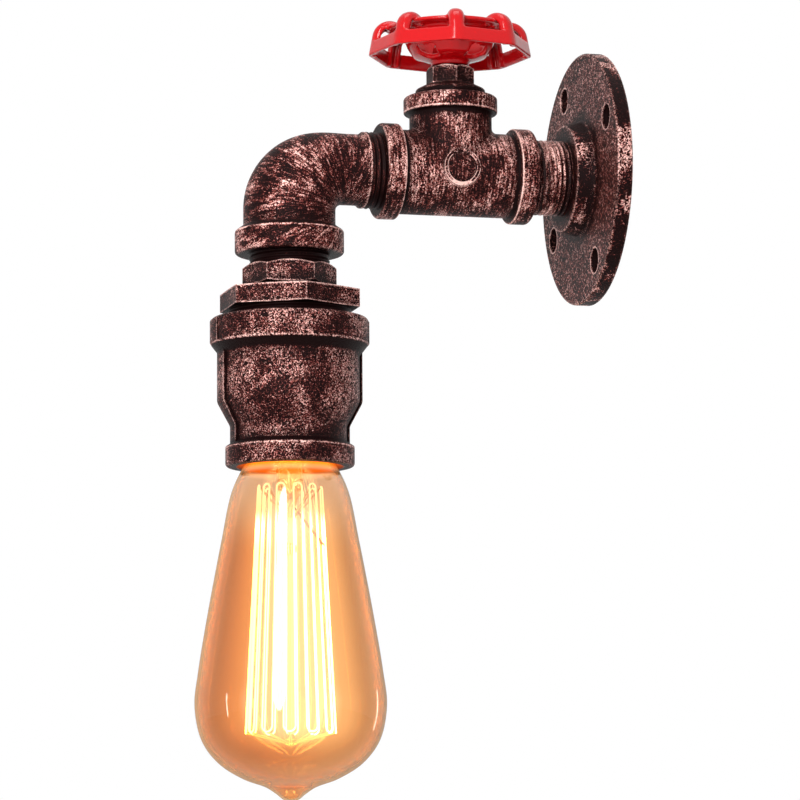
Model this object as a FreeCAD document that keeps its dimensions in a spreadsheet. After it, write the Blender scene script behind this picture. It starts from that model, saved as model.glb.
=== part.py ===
import FreeCAD, Part
import math
import os
import Sketcher
from FreeCAD import Placement, Rotation, Vector

# Wall light made of cast pipe fittings, with a handwheel switch and a pear-shaped bulb.
# Frame: the origin is the centre of the flange's back, on the wall. The arm runs along -Y, and +Z is up.

doc = FreeCAD.newDocument("pipe_wall_light")
table = doc.addObject("Spreadsheet::Sheet", "Sizes")

# Driving sizes in millimetres and degrees. A radius is half a diameter, and a depth or height is a length.
driving_sizes = {
    # fits
    "thread_clearance": 0.05,
    "thread_runout": 1.0,
    "running_clearance": 0.05,
    "moving_gap": 0.3,
    # wall flange
    "flange_radius": 44.0,
    "flange_thickness": 5.5,
    "flange_edge": 0.7,
    "hub_base_radius": 20.0,
    "hub_face_radius": 18.5,
    "hub_height": 11.7,
    "hole_radius": 4.45,
    "hole_circle_share": 0.8,
    "hole_phase": 27.7,
    "hole_count": 4,
    # arm pipe and its threads
    "pipe_radius": 12.8,
    "pipe_bore_radius": 10.3,
    "pipe_depth_in_flange": 10.2,
    "thread_depth": 12.0,
    # tee
    "tee_distance": 24.2,
    "tee_length": 54.2,
    "port_offset": 27.8,
    "tee_body_radius": 14.6,
    "tee_band_radius": 16.6,
    "tee_band_width": 6.6,
    "tee_bore_radius": 11.6,
    "band_edge": 1.2,
    "port_height": 26.8,
    "port_neck_radius": 14.3,
    "port_band_radius": 16.3,
    "port_band_width": 5.8,
    "port_thread_radius": 11.3,
    "saddle_fillet": 1.8,
    "ring_radius": 6.4,
    "ring_width": 1.2,
    "ring_relief": 0.5,
    # bonnet, gland and nut on the port
    "bonnet_depth": 9.8,
    "bonnet_disc_radius": 12.1,
    "bonnet_disc_thickness": 2.6,
    "bonnet_cone_radius": 8.6,
    "bonnet_cone_height": 1.8,
    "gland_radius": 5.3,
    "gland_height": 4.0,
    "packing_height": 0.9,
    "packing_nut_flats": 14.8,
    "packing_nut_height": 6.2,
    "packing_nut_chamfer": 0.8,
    # spindle and its screw
    "spindle_radius": 3.0,
    "spindle_foot_radius": 2.0,
    "wheel_screw_radius": 1.9,
    "wheel_screw_length": 10.0,
    "screw_head_radius": 3.9,
    "screw_head_height": 2.6,
    "washer_radius": 5.4,
    "washer_thickness": 0.8,
    # handwheel
    "wheel_clearance": 0.35,
    "wheel_sheet": 1.45,
    "wheel_lobes": 8,
    "wheel_spokes": 4,
    "wheel_phase": -10.3,
    "wheel_corner_radius": 28.9,
    "wheel_corner_round": 6.0,
    "wheel_skirt_height": 4.9,
    "wheel_lean": 10.0,
    "wheel_plate_height": 10.0,
    "wheel_plate_radius": 21.9,
    "wheel_plate_inner": 15.4,
    "wheel_wall_radius": 14.8,
    "wheel_wall_foot": 3.0,
    "wheel_floor_radius": 12.6,
    "wheel_hub_radius": 6.65,
    "wheel_hub_rise": 3.75,
    "wheel_hub_height": 6.9,
    "window_inner_radius": 8.8,
    "window_outer_radius": 14.4,
    "window_half_angle": 17.2,
    "window_round": 1.2,
    "finger_width": 5.6,
    "finger_depth": 3.0,
    "finger_round": 2.3,
    "finger_crest_height": 12.3,
    "finger_bend": 6.2,
    "finger_slope": 50.0,
    # rotary switch
    "switch_radius": 8.5,
    "switch_wall": 1.2,
    "switch_height": 13.5,
    "switch_neck_radius": 4.5,
    "switch_neck_height": 4.8,
    "switch_cap_thickness": 1.2,
    "rotor_radius": 4.2,
    "rotor_height": 6.0,
    "rotor_lobes": 4,
    "contact_width": 2.6,
    "contact_thickness": 0.8,
    "contact_spread": 3.9,
    # street elbow
    "elbow_reach": 31.2,
    "elbow_neck_radius": 12.3,
    "elbow_shoulder_radius": 13.2,
    "elbow_shoulder_gap": 5.0,
    "elbow_shoulder_width": 1.0,
    "elbow_shoulder_edge": 0.4,
    "elbow_inner_bend": 3.0,
    "elbow_outer_bend": 27.0,
    "elbow_tube_radius": 15.8,
    "elbow_wall": 3.0,
    "elbow_band_radius": 18.7,
    "elbow_band_top": 22.5,
    "elbow_band_step": 2.0,
    "elbow_face": 30.5,
    # small hexagon nipple
    "small_thread_radius": 13.3,
    "small_nipple_bore": 9.5,
    "small_gap": 3.6,
    "small_flats": 27.9,
    "small_height": 7.4,
    "small_chamfer": 1.2,
    "small_phase": 18.2,
    "small_thread_length": 12.5,
    # large hexagon bushing
    "large_gap": 1.7,
    "large_flats": 43.2,
    "large_height": 6.4,
    "large_chamfer": 0.15,
    "large_collar": 3.1,
    "large_thread_radius": 20.5,
    "large_thread_length": 9.3,
    "large_room_radius": 16.6,
    # reducing coupling
    "top_band_radius": 26.9,
    "top_band_width": 8.9,
    "cup_radius": 23.8,
    "cup_start": 12.9,
    "cup_end": 28.8,
    "neck_start": 37.0,
    "neck_end": 42.4,
    "neck_radius": 19.4,
    "low_band_start": 44.0,
    "low_band_radius": 22.0,
    "coupling_length": 50.8,
    "cup_bore_radius": 19.6,
    "neck_bore_radius": 16.5,
    "mouth_radius": 18.2,
    "mouth_depth": 3.6,
    "rib_angle": 23.5,
    "rib_height": 1.0,
    # lamp socket
    "socket_washer": 1.2,
    "socket_washer_bore": 13.5,
    "socket_radius": 18.9,
    "socket_shoulder": 18.8,
    "socket_nose_radius": 15.7,
    "socket_length": 33.4,
    "socket_floor": 7.3,
    "socket_edge": 0.4,
    "shell_radius": 13.25,
    "shell_wall": 0.4,
    "shell_length": 25.0,
    "shell_flange_bore": 9.0,
    "centre_contact_drop": 1.2,
    "centre_contact_width": 5.0,
    "terminal_width": 6.6,
    "terminal_depth": 7.0,
    "terminal_height": 6.0,
    "terminal_leg_radius": 1.5,
    "live_leg_place": 5.0,
    "neutral_leg_place": 10.8,
    "clamp_screw_radius": 1.4,
    "clamp_head_radius": 2.2,
    "clamp_head_height": 1.6,
    # wires and supply connector
    "wire_radius": 1.1,
    "wire_hole_radius": 1.3,
    "wire_side": 4.5,
    "wire_level": 3.0,
    "wire_bend": 14.0,
    "wire_grip": 5.0,
    "connector_start": 3.0,
    "connector_length": 17.0,
    "connector_width": 14.6,
    "connector_height": 8.6,
    "clamp_share": 0.28,
    # bulb
    "bulb_length": 144.6,
    "bulb_radius": 32.5,
    "bulb_wall": 0.8,
    "bulb_neck_radius": 12.2,
    "pip_radius": 8.45,
    "pip_length": 4.6,
    "cap_radius": 12.95,
    "cap_wall": 0.35,
    "cap_length": 26.3,
    "cap_start": 5.0,
    "cap_lip_width": 1.0,
    "insulator_radius": 11.6,
    "tip_contact_radius": 4.8,
    "tip_contact_height": 1.2,
    "stem_radius": 4.4,
    "stem_start": 17.0,
    "stem_flare": 9.0,
    "stem_pinch": 7.0,
    "stem_end": 45.0,
    "rod_radius": 1.1,
    "rod_end": 126.4,
    "bead_radius": 2.1,
    "bead_place": 59.5,
    "support_radius": 0.25,
    "support_drop": 4.0,
    "lead_spread": 15.0,
    "filament_radius": 0.28,
    "filament_loops": 12,
    "filament_top": 39.5,
    "filament_start": 59.0,
    "filament_bottom": 119.8,
    "filament_top_radius": 11.0,
    "filament_bottom_radius": 15.2,
    "filament_phase": 60.0,
}
for row, (alias, amount) in enumerate(driving_sizes.items(), start=1):
    table.set("A%d" % row, alias.replace("_", " "))
    table.set("B%d" % row, str(amount))
    table.setAlias("B%d" % row, alias)
doc.recompute()


class Size:
    # A size from the sheet, or a sum of such sizes: its value now and the expression that gives it.
    def __init__(self, value, text):
        self.value = value
        self.text = text

    def __add__(self, other):
        return Size(self.value + number(other), "(%s + %s)" % (self.text, words(other)))

    def __radd__(self, other):
        return Size(number(other) + self.value, "(%s + %s)" % (words(other), self.text))

    def __sub__(self, other):
        return Size(self.value - number(other), "(%s - %s)" % (self.text, words(other)))

    def __rsub__(self, other):
        return Size(number(other) - self.value, "(%s - %s)" % (words(other), self.text))

    def __mul__(self, other):
        return Size(self.value * number(other), "(%s * %s)" % (self.text, words(other)))

    __rmul__ = __mul__

    def __truediv__(self, other):
        return Size(self.value / number(other), "(%s / %s)" % (self.text, words(other)))

    def __rtruediv__(self, other):
        return Size(number(other) / self.value, "(%s / %s)" % (words(other), self.text))

    def __neg__(self):
        return Size(-self.value, "(-1 * %s)" % self.text)


class Sheet:
    # Sheet().flange_radius is that cell as a Size.
    def __getattr__(self, alias):
        return Size(float(table.get(alias)), "Sizes." + alias)


def number(size):
    return size.value if isinstance(size, Size) else float(size)


def words(size):
    return size.text if isinstance(size, Size) else repr(float(size))


def cosine(angle):
    return Size(math.cos(math.radians(number(angle))), "cos(%s)" % words(angle))


def sine(angle):
    return Size(math.sin(math.radians(number(angle))), "sin(%s)" % words(angle))


def tangent(angle):
    return Size(math.tan(math.radians(number(angle))), "tan(%s)" % words(angle))


size = Sheet()
sub_parts = []


# Tools for bodies, sketches and features


def bind(thing, prop, amount):
    if isinstance(amount, Size):
        thing.setExpression(prop, amount.text)
    else:
        owner, _, last = prop.rpartition(".")
        target = thing
        for step in owner.split("."):
            target = getattr(target, step) if step else target
        setattr(target, last, amount)


def place(thing, x=0, y=0, z=0, turn=None):
    thing.Placement = Placement(Vector(number(x), number(y), number(z)), turn or Rotation())
    for axis, amount in zip("xyz", (x, y, z)):
        if isinstance(amount, Size):
            thing.setExpression("Placement.Base." + axis, amount.text)


def new_body(label, x=0, y=0, z=0, turn=None):
    body = doc.addObject("PartDesign::Body", label)
    body.Label = label
    place(body, x, y, z, turn)
    sub_parts.append(body)
    return body


def origin_part(body, role):
    return next(part for part in body.Origin.OriginFeatures if part.Role == role)


def new_sketch(body, plane, name, offset=0):
    sketch = body.newObject("Sketcher::SketchObject", name)
    sketch.AttachmentSupport = [(origin_part(body, plane), "")]
    sketch.MapMode = "FlatFace"
    if isinstance(offset, Size):
        sketch.setExpression("AttachmentOffset.Base.z", offset.text)
    elif offset:
        sketch.AttachmentOffset = Placement(Vector(0, 0, offset), Rotation())
    return sketch


def hold(sketch, kind, *where):
    # A dimension in a sketch, bound to the sheet where it is a Size.
    amount = where[-1]
    index = sketch.addConstraint(Sketcher.Constraint(kind, *where[:-1], number(amount)))
    if isinstance(amount, Size):
        sketch.setExpression("Constraints[%d]" % index, amount.text)


def hold_point(sketch, geometry, position, x, y):
    for kind, axis, amount in (("DistanceX", -2, x), ("DistanceY", -1, y)):
        if isinstance(amount, Size) or amount:
            hold(sketch, kind, geometry, position, amount)
        else:
            sketch.addConstraint(Sketcher.Constraint("PointOnObject", geometry, position, axis))


def outline(sketch, corners, closed=True):
    # Outline through corners (x, y) or (x, y, rounding radius), each held by its own dimensions.
    points = [Vector(number(corner[0]), number(corner[1]), 0) for corner in corners]
    rounds = [corner[2] if len(corner) > 2 else 0 for corner in corners]
    count = len(corners)
    arrive = []
    leave = []
    for i, point in enumerate(points):
        back = (points[i - 1] - point).normalize()
        ahead = (points[(i + 1) % count] - point).normalize()
        half = back.getAngle(ahead) / 2
        reach = number(rounds[i]) / math.tan(half) if number(rounds[i]) else 0
        arrive.append(point + back * reach)
        leave.append(point + ahead * reach)
    lines = [
        sketch.addGeometry(Part.LineSegment(leave[i], arrive[(i + 1) % count]))
        for i in range(count if closed else count - 1)
    ]
    for i, corner in enumerate(corners):
        if not closed and i in (0, count - 1):
            hold_point(sketch, lines[min(i, count - 2)], 2 if i else 1, corner[0], corner[1])
            continue
        before = lines[i - 1]
        after = lines[i]
        if not number(rounds[i]):
            sketch.addConstraint(Sketcher.Constraint("Coincident", before, 2, after, 1))
            hold_point(sketch, after, 1, corner[0], corner[1])
            continue
        point = points[i]
        back = (points[i - 1] - point).normalize()
        ahead = (points[(i + 1) % count] - point).normalize()
        half = back.getAngle(ahead) / 2
        radius = number(rounds[i])
        centre = point + (back + ahead).normalize() * (radius / math.sin(half))
        leftward = (back.x * ahead.y - back.y * ahead.x) < 0
        first, last = (arrive[i], leave[i]) if leftward else (leave[i], arrive[i])
        angles = [math.atan2(end.y - centre.y, end.x - centre.x) for end in (first, last)]
        if angles[1] < angles[0]:
            angles[1] += 2 * math.pi
        circle = Part.Circle(centre, Vector(0, 0, 1), radius)
        arc = sketch.addGeometry(Part.ArcOfCircle(circle, angles[0], angles[1]))
        start, end = (1, 2) if leftward else (2, 1)
        sketch.addConstraint(Sketcher.Constraint("Tangent", before, 2, arc, start))
        sketch.addConstraint(Sketcher.Constraint("Tangent", arc, end, after, 1))
        hold(sketch, "Radius", arc, rounds[i])
        mark = sketch.addGeometry(Part.Point(point), True)
        sketch.addConstraint(Sketcher.Constraint("PointOnObject", mark, 1, before))
        sketch.addConstraint(Sketcher.Constraint("PointOnObject", mark, 1, after))
        hold_point(sketch, mark, 1, corner[0], corner[1])


def circle_in(sketch, x, y, radius):
    centre = Vector(number(x), number(y), 0)
    ring = sketch.addGeometry(Part.Circle(centre, Vector(0, 0, 1), number(radius)))
    hold_point(sketch, ring, 3, x, y)
    hold(sketch, "Radius", ring, radius)


def polygon(sides, radius, phase):
    # Corners of a regular polygon.
    return [
        (radius * cosine(phase + 360.0 * k / sides), radius * sine(phase + 360.0 * k / sides))
        for k in range(sides)
    ]


def revolve(body, name, corners, plane="XZ_Plane", axis="V_Axis", cut=False, angle=None):
    # Turned form; the outline's axis is the sketch's own. Cuts check that they remove material.
    sketch = new_sketch(body, plane, name + "_outline")
    outline(sketch, corners)
    feature = body.newObject("PartDesign::Groove" if cut else "PartDesign::Revolution", name)
    feature.Profile = sketch
    feature.ReferenceAxis = (sketch, [axis])
    feature.Angle = 360
    if angle is not None:
        feature.Midplane = True
        bind(feature, "Angle", angle)
    doc.recompute()
    return feature


def extrude(body, name, plane, draw, length, offset=0, cut=False, middle=False):
    # Straight pad or pocket of what draw puts in the sketch, from offset along the plane's normal.
    sketch = new_sketch(body, plane, name + "_outline", offset)
    draw(sketch)
    feature = body.newObject("PartDesign::Pocket" if cut else "PartDesign::Pad", name)
    feature.Profile = sketch
    bind(feature, "Length", length)
    if middle:
        feature.SideType = "Symmetric"
    if cut and not middle:
        feature.Reversed = True
    doc.recompute()
    return feature


def repeat(body, features, count, name):
    pattern = body.newObject("PartDesign::PolarPattern", name)
    pattern.Originals = features if isinstance(features, list) else [features]
    pattern.Axis = (origin_part(body, "Z_Axis"), [""])
    pattern.Angle = 360
    bind(pattern, "Occurrences", count if isinstance(count, Size) else int(count))
    body.Tip = pattern
    doc.recompute()
    return pattern


def round_off(body, name, chosen, radius):
    # Fillet on the edges that chosen(edge) picks from the body's present shape.
    base = body.Tip
    edges = ["Edge%d" % (i + 1) for i, edge in enumerate(base.Shape.Edges) if chosen(edge)]
    fillet = body.newObject("PartDesign::Fillet", name)
    fillet.Base = (base, edges)
    bind(fillet, "Radius", radius)
    doc.recompute()
    return fillet


def free_shape(label, shape, x=0, y=0, z=0, turn=None):
    feature = doc.addObject("Part::Feature", label)
    feature.Label = label
    feature.Shape = shape
    place(feature, x, y, z, turn)
    sub_parts.append(feature)
    return feature


def hexagon(body, name, flats, phase, start, height, upper, lower=None):
    # Hexagon along the body's Z axis. Its corners are turned off: they end that far below the upper face,
    # and above the lower one.
    corner = flats / (2 * cosine(30))
    extrude(body, name, "XY_Plane", lambda sketch: outline(sketch, polygon(6, corner, phase)), height, start)
    inner = flats / 2
    past = corner * 2 - inner
    top = start + height
    revolve(body, name + "_upper_corners", [(inner, top), (past, top), (past, top - upper * 2)], cut=True)
    if lower is not None:
        revolve(body, name + "_lower_corners", [(inner, start), (past, start), (past, start + lower * 2)],
                cut=True)


arm_turn = Rotation(Vector(1, 0, 0), 90)
port_y = -(size.tee_distance + size.port_offset)
drop_y = -(size.tee_distance + size.tee_length + size.elbow_reach)


# Wall flange: disc with four screw holes, hub with a machined face


def wall_flange():
    body = new_body("wall_flange", turn=arm_turn)
    bore = size.pipe_radius + size.thread_clearance
    revolve(body, "flange_disc", [
        (bore, 0),
        (size.flange_radius, 0, size.flange_edge),
        (size.flange_radius, size.flange_thickness, size.flange_edge),
        (size.hub_base_radius, size.flange_thickness, size.band_edge),
        (size.hub_face_radius, size.hub_height, size.flange_edge / 2),
        (bore, size.hub_height),
    ])
    x = size.flange_radius * size.hole_circle_share * cosine(size.hole_phase)
    y = size.flange_radius * size.hole_circle_share * sine(size.hole_phase)
    hole = extrude(body, "screw_hole", "XY_Plane", lambda sketch: circle_in(sketch, x, y, size.hole_radius),
                   size.flange_thickness, cut=True)
    repeat(body, hole, size.hole_count, "screw_holes")


def flange_nipple():
    body = new_body("flange_nipple", turn=arm_turn)
    start = size.hub_height - size.pipe_depth_in_flange
    end = size.tee_distance + size.thread_depth
    revolve(body, "pipe", [
        (size.pipe_bore_radius, start),
        (size.pipe_radius, start),
        (size.pipe_radius, end),
        (size.pipe_bore_radius, end),
    ])


# Tee: a run with two bands, a port with a third, and a plain raised ring on its side


def tee():
    body = doc.addObject("PartDesign::Body", "tee_casting")
    near = size.port_offset
    far = size.port_offset - size.tee_length
    web = size.band_edge * 0.8
    revolve(body, "run", [
        (far, 0),
        (far, size.tee_band_radius, size.band_edge),
        (far + size.tee_band_width, size.tee_band_radius, size.band_edge / 2),
        (far + size.tee_band_width, size.tee_body_radius, web),
        (near - size.tee_band_width, size.tee_body_radius, web),
        (near - size.tee_band_width, size.tee_band_radius, size.band_edge / 2),
        (near, size.tee_band_radius, size.band_edge),
        (near, 0),
    ], "YZ_Plane", "H_Axis")
    band = size.port_height - size.port_band_width
    revolve(body, "port", [
        (0, 0),
        (size.port_neck_radius, 0),
        (size.port_neck_radius, band, web),
        (size.port_band_radius, band, size.band_edge / 2),
        (size.port_band_radius, size.port_height, size.band_edge),
        (0, size.port_height),
    ])

    def saddle(edge):
        # The closed curve where the port's neck meets the run.
        box = edge.BoundBox
        low = size.tee_body_radius.value + 0.5
        wide = size.port_neck_radius.value
        curved = edge.Curve.TypeId not in ("Part::GeomCircle", "Part::GeomLine")
        return curved and box.ZMax < low and box.ZMin >= 0 and abs(box.Center.y) < wide

    round_off(body, "saddle", saddle, size.saddle_fillet)
    bore = size.tee_bore_radius
    thread = size.pipe_radius + size.thread_clearance
    revolve(body, "run_bore", [
        (far, 0),
        (far, thread),
        (far + size.thread_depth, thread),
        (far + size.thread_depth + size.thread_runout, bore),
        (near - size.thread_depth - size.thread_runout, bore),
        (near - size.thread_depth, thread),
        (near, thread),
        (near, 0),
    ], "YZ_Plane", "H_Axis", cut=True)
    port = size.port_thread_radius + size.thread_clearance
    revolve(body, "port_bore", [
        (0, 0),
        (port, 0),
        (port, size.port_height),
        (0, size.port_height),
    ], cut=True)
    crown = doc.addObject("Part::Cylinder", "ring_crown")
    bind(crown, "Radius", size.tee_body_radius + size.ring_relief)
    bind(crown, "Height", size.ring_radius * 4)
    crown.Placement = Placement(Vector(0, number(size.ring_radius) * 2, 0), arm_turn)
    crown.setExpression("Placement.Base.y", (size.ring_radius * 2).text)
    outer = doc.addObject("Part::Cylinder", "ring_outer")
    inner = doc.addObject("Part::Cylinder", "ring_inner")
    for drum, radius in ((outer, size.ring_radius), (inner, size.ring_radius - size.ring_width)):
        bind(drum, "Radius", radius)
        bind(drum, "Height", size.tee_body_radius)
        place(drum, x=size.tee_body_radius - size.ring_width * 2, turn=Rotation(Vector(0, 1, 0), 90))
    ring = doc.addObject("Part::Cut", "ring")
    ring.Base = outer
    ring.Tool = inner
    raised = doc.addObject("Part::Common", "raised_ring")
    raised.Base = ring
    raised.Tool = crown
    whole = doc.addObject("Part::Fuse", "tee")
    whole.Base = body
    whole.Tool = raised
    whole.Label = "tee"
    place(whole, y=port_y)
    sub_parts.append(whole)


# Bonnet in the tee's port, with gland, packing ring and nut


def valve_bonnet():
    body = new_body("valve_bonnet", y=port_y)
    bottom = size.port_height - size.bonnet_depth
    disc = size.port_height + size.bonnet_disc_thickness
    cone = disc + size.bonnet_cone_height
    gland = cone + size.gland_height
    neck = size.switch_neck_radius + size.thread_clearance
    shaft = size.spindle_radius + size.running_clearance
    revolve(body, "bonnet", [
        (neck, bottom),
        (size.port_thread_radius, bottom),
        (size.port_thread_radius, size.port_height),
        (size.bonnet_disc_radius, size.port_height),
        (size.bonnet_disc_radius, disc, size.bonnet_disc_thickness / 3),
        (size.bonnet_cone_radius, cone),
        (size.gland_radius, cone),
        (size.gland_radius, gland),
        (shaft, gland),
        (shaft, bottom + size.switch_neck_height),
        (neck, bottom + size.switch_neck_height),
    ])


def gland_top():
    return size.port_height + size.bonnet_disc_thickness + size.bonnet_cone_height + size.gland_height


def gland_packing():
    body = new_body("gland_packing", y=port_y)
    revolve(body, "packing", [
        (size.spindle_radius + size.running_clearance, gland_top()),
        (size.gland_radius, gland_top()),
        (size.gland_radius, gland_top() + size.packing_height),
        (size.spindle_radius + size.running_clearance, gland_top() + size.packing_height),
    ])


def packing_nut():
    body = new_body("packing_nut", y=port_y)
    start = gland_top() - size.gland_height
    hexagon(body, "nut", size.packing_nut_flats, 0, start, size.packing_nut_height, size.packing_nut_chamfer)
    thread = size.gland_radius + size.thread_clearance
    shaft = size.spindle_radius + size.moving_gap
    ceiling = gland_top() + size.packing_height
    revolve(body, "nut_bore", [
        (0, start),
        (thread, start),
        (thread, ceiling),
        (shaft, ceiling),
        (shaft, start + size.packing_nut_height),
        (0, start + size.packing_nut_height),
    ], cut=True)


def nut_top():
    return gland_top() - size.gland_height + size.packing_nut_height


def wheel_level():
    # Height of the wheel's lower edge above the arm's axis.
    return nut_top() + size.wheel_clearance + size.wheel_hub_rise


def hub_top():
    return wheel_level() - size.wheel_hub_rise + size.wheel_hub_height


# Rotary switch under the bonnet


def switch_bottom():
    return size.port_height - size.bonnet_depth - size.switch_height


def rotor_foot():
    return switch_bottom() + size.moving_gap * 4


def switch_housing():
    body = new_body("switch_housing", y=port_y)
    top = size.port_height - size.bonnet_depth
    shaft = size.spindle_radius + size.running_clearance
    inner = size.switch_radius - size.switch_wall
    revolve(body, "housing", [
        (inner, switch_bottom()),
        (size.switch_radius, switch_bottom()),
        (size.switch_radius, top),
        (size.switch_neck_radius, top),
        (size.switch_neck_radius, top + size.switch_neck_height),
        (shaft, top + size.switch_neck_height),
        (shaft, top - size.switch_wall * 2),
        (inner, top - size.switch_wall * 2),
    ])


def contact_slots(clearance):
    wide = size.contact_width / 2 + clearance
    thick = size.contact_thickness / 2 + clearance
    boxes = []
    for side in (-1, 1):
        middle = size.contact_spread * side
        boxes.append([
            (size.wire_side - wide, middle - thick),
            (size.wire_side + wide, middle - thick),
            (size.wire_side + wide, middle + thick),
            (size.wire_side - wide, middle + thick),
        ])
    return boxes


def switch_cap():
    body = new_body("switch_cap", y=port_y)
    start = switch_bottom() - size.switch_cap_thickness
    extrude(body, "cap", "XY_Plane", lambda sketch: circle_in(sketch, 0, 0, size.switch_radius),
            size.switch_cap_thickness, start)

    def slots(sketch):
        for box in contact_slots(0.02):
            outline(sketch, box)

    extrude(body, "slots", "XY_Plane", slots, size.switch_cap_thickness, start, cut=True)


def switch_contacts():
    # Two flat springs; their feet stand in the cap's slots and meet the wires.
    foot = -size.wire_level - size.wire_radius * 1.4
    top = switch_bottom() + size.switch_height - size.switch_wall * 3
    blades = []
    for side, box in zip((-1, 1), contact_slots(0)):
        low = [Vector(number(x), number(y), foot.value) for x, y in box]
        blade = Part.Face(Part.makePolygon(low + [low[0]])).extrude(Vector(0, 0, top.value - foot.value))
        blades.append(blade)
    free_shape("switch_contacts", Part.makeCompound(blades), y=port_y)


# Pieces that turn with the wheel


def switch_rotor():
    body = new_body("switch_rotor", y=port_y)
    start = rotor_foot()
    extrude(body, "core", "XY_Plane", lambda sketch: circle_in(sketch, 0, 0, size.rotor_radius * 0.86),
            size.rotor_height, start)
    tooth = size.rotor_radius * 0.3
    lobe = extrude(body, "lobe", "XY_Plane",
                   lambda sketch: circle_in(sketch, size.rotor_radius - tooth, 0, tooth),
                   size.rotor_height, start)
    repeat(body, lobe, size.rotor_lobes, "lobes")
    extrude(body, "rotor_bore", "XY_Plane", lambda sketch: circle_in(sketch, 0, 0, size.spindle_foot_radius),
            size.rotor_height, start, cut=True)


def valve_spindle():
    body = new_body("valve_spindle", y=port_y)
    foot = rotor_foot()
    step = size.port_height - size.bonnet_depth - size.switch_wall * 2 - size.moving_gap
    top = hub_top()
    screw = size.wheel_screw_radius
    depth = top - size.wheel_screw_length
    revolve(body, "shaft", [
        (0, foot),
        (size.spindle_foot_radius, foot),
        (size.spindle_foot_radius, step),
        (size.spindle_radius, step),
        (size.spindle_radius, top),
        (screw, top),
        (screw, depth),
        (0, depth),
    ])


def wheel_washer():
    body = new_body("wheel_washer", y=port_y, z=hub_top())
    revolve(body, "washer", [
        (size.wheel_screw_radius, 0),
        (size.washer_radius, 0),
        (size.washer_radius, size.washer_thickness, size.washer_thickness / 3),
        (size.wheel_screw_radius, size.washer_thickness),
    ])


def wheel_screw():
    body = new_body("wheel_screw", y=port_y, z=hub_top() + size.washer_thickness)
    revolve(body, "screw", [
        (0, -size.washer_thickness - size.wheel_screw_length),
        (size.wheel_screw_radius, -size.washer_thickness - size.wheel_screw_length),
        (size.wheel_screw_radius, 0),
        (size.screw_head_radius, 0),
        (size.screw_head_radius, size.screw_head_height, size.screw_head_height / 2),
        (0, size.screw_head_height),
    ])
    slot = size.screw_head_radius / 8

    def cross(sketch):
        outline(sketch, [
            (-size.screw_head_radius, -slot),
            (size.screw_head_radius, -slot),
            (size.screw_head_radius, slot),
            (-size.screw_head_radius, slot),
        ])

    extrude(body, "screw_slot", "XY_Plane", cross, size.screw_head_height,
            size.screw_head_height / 2, cut=True)


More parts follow.
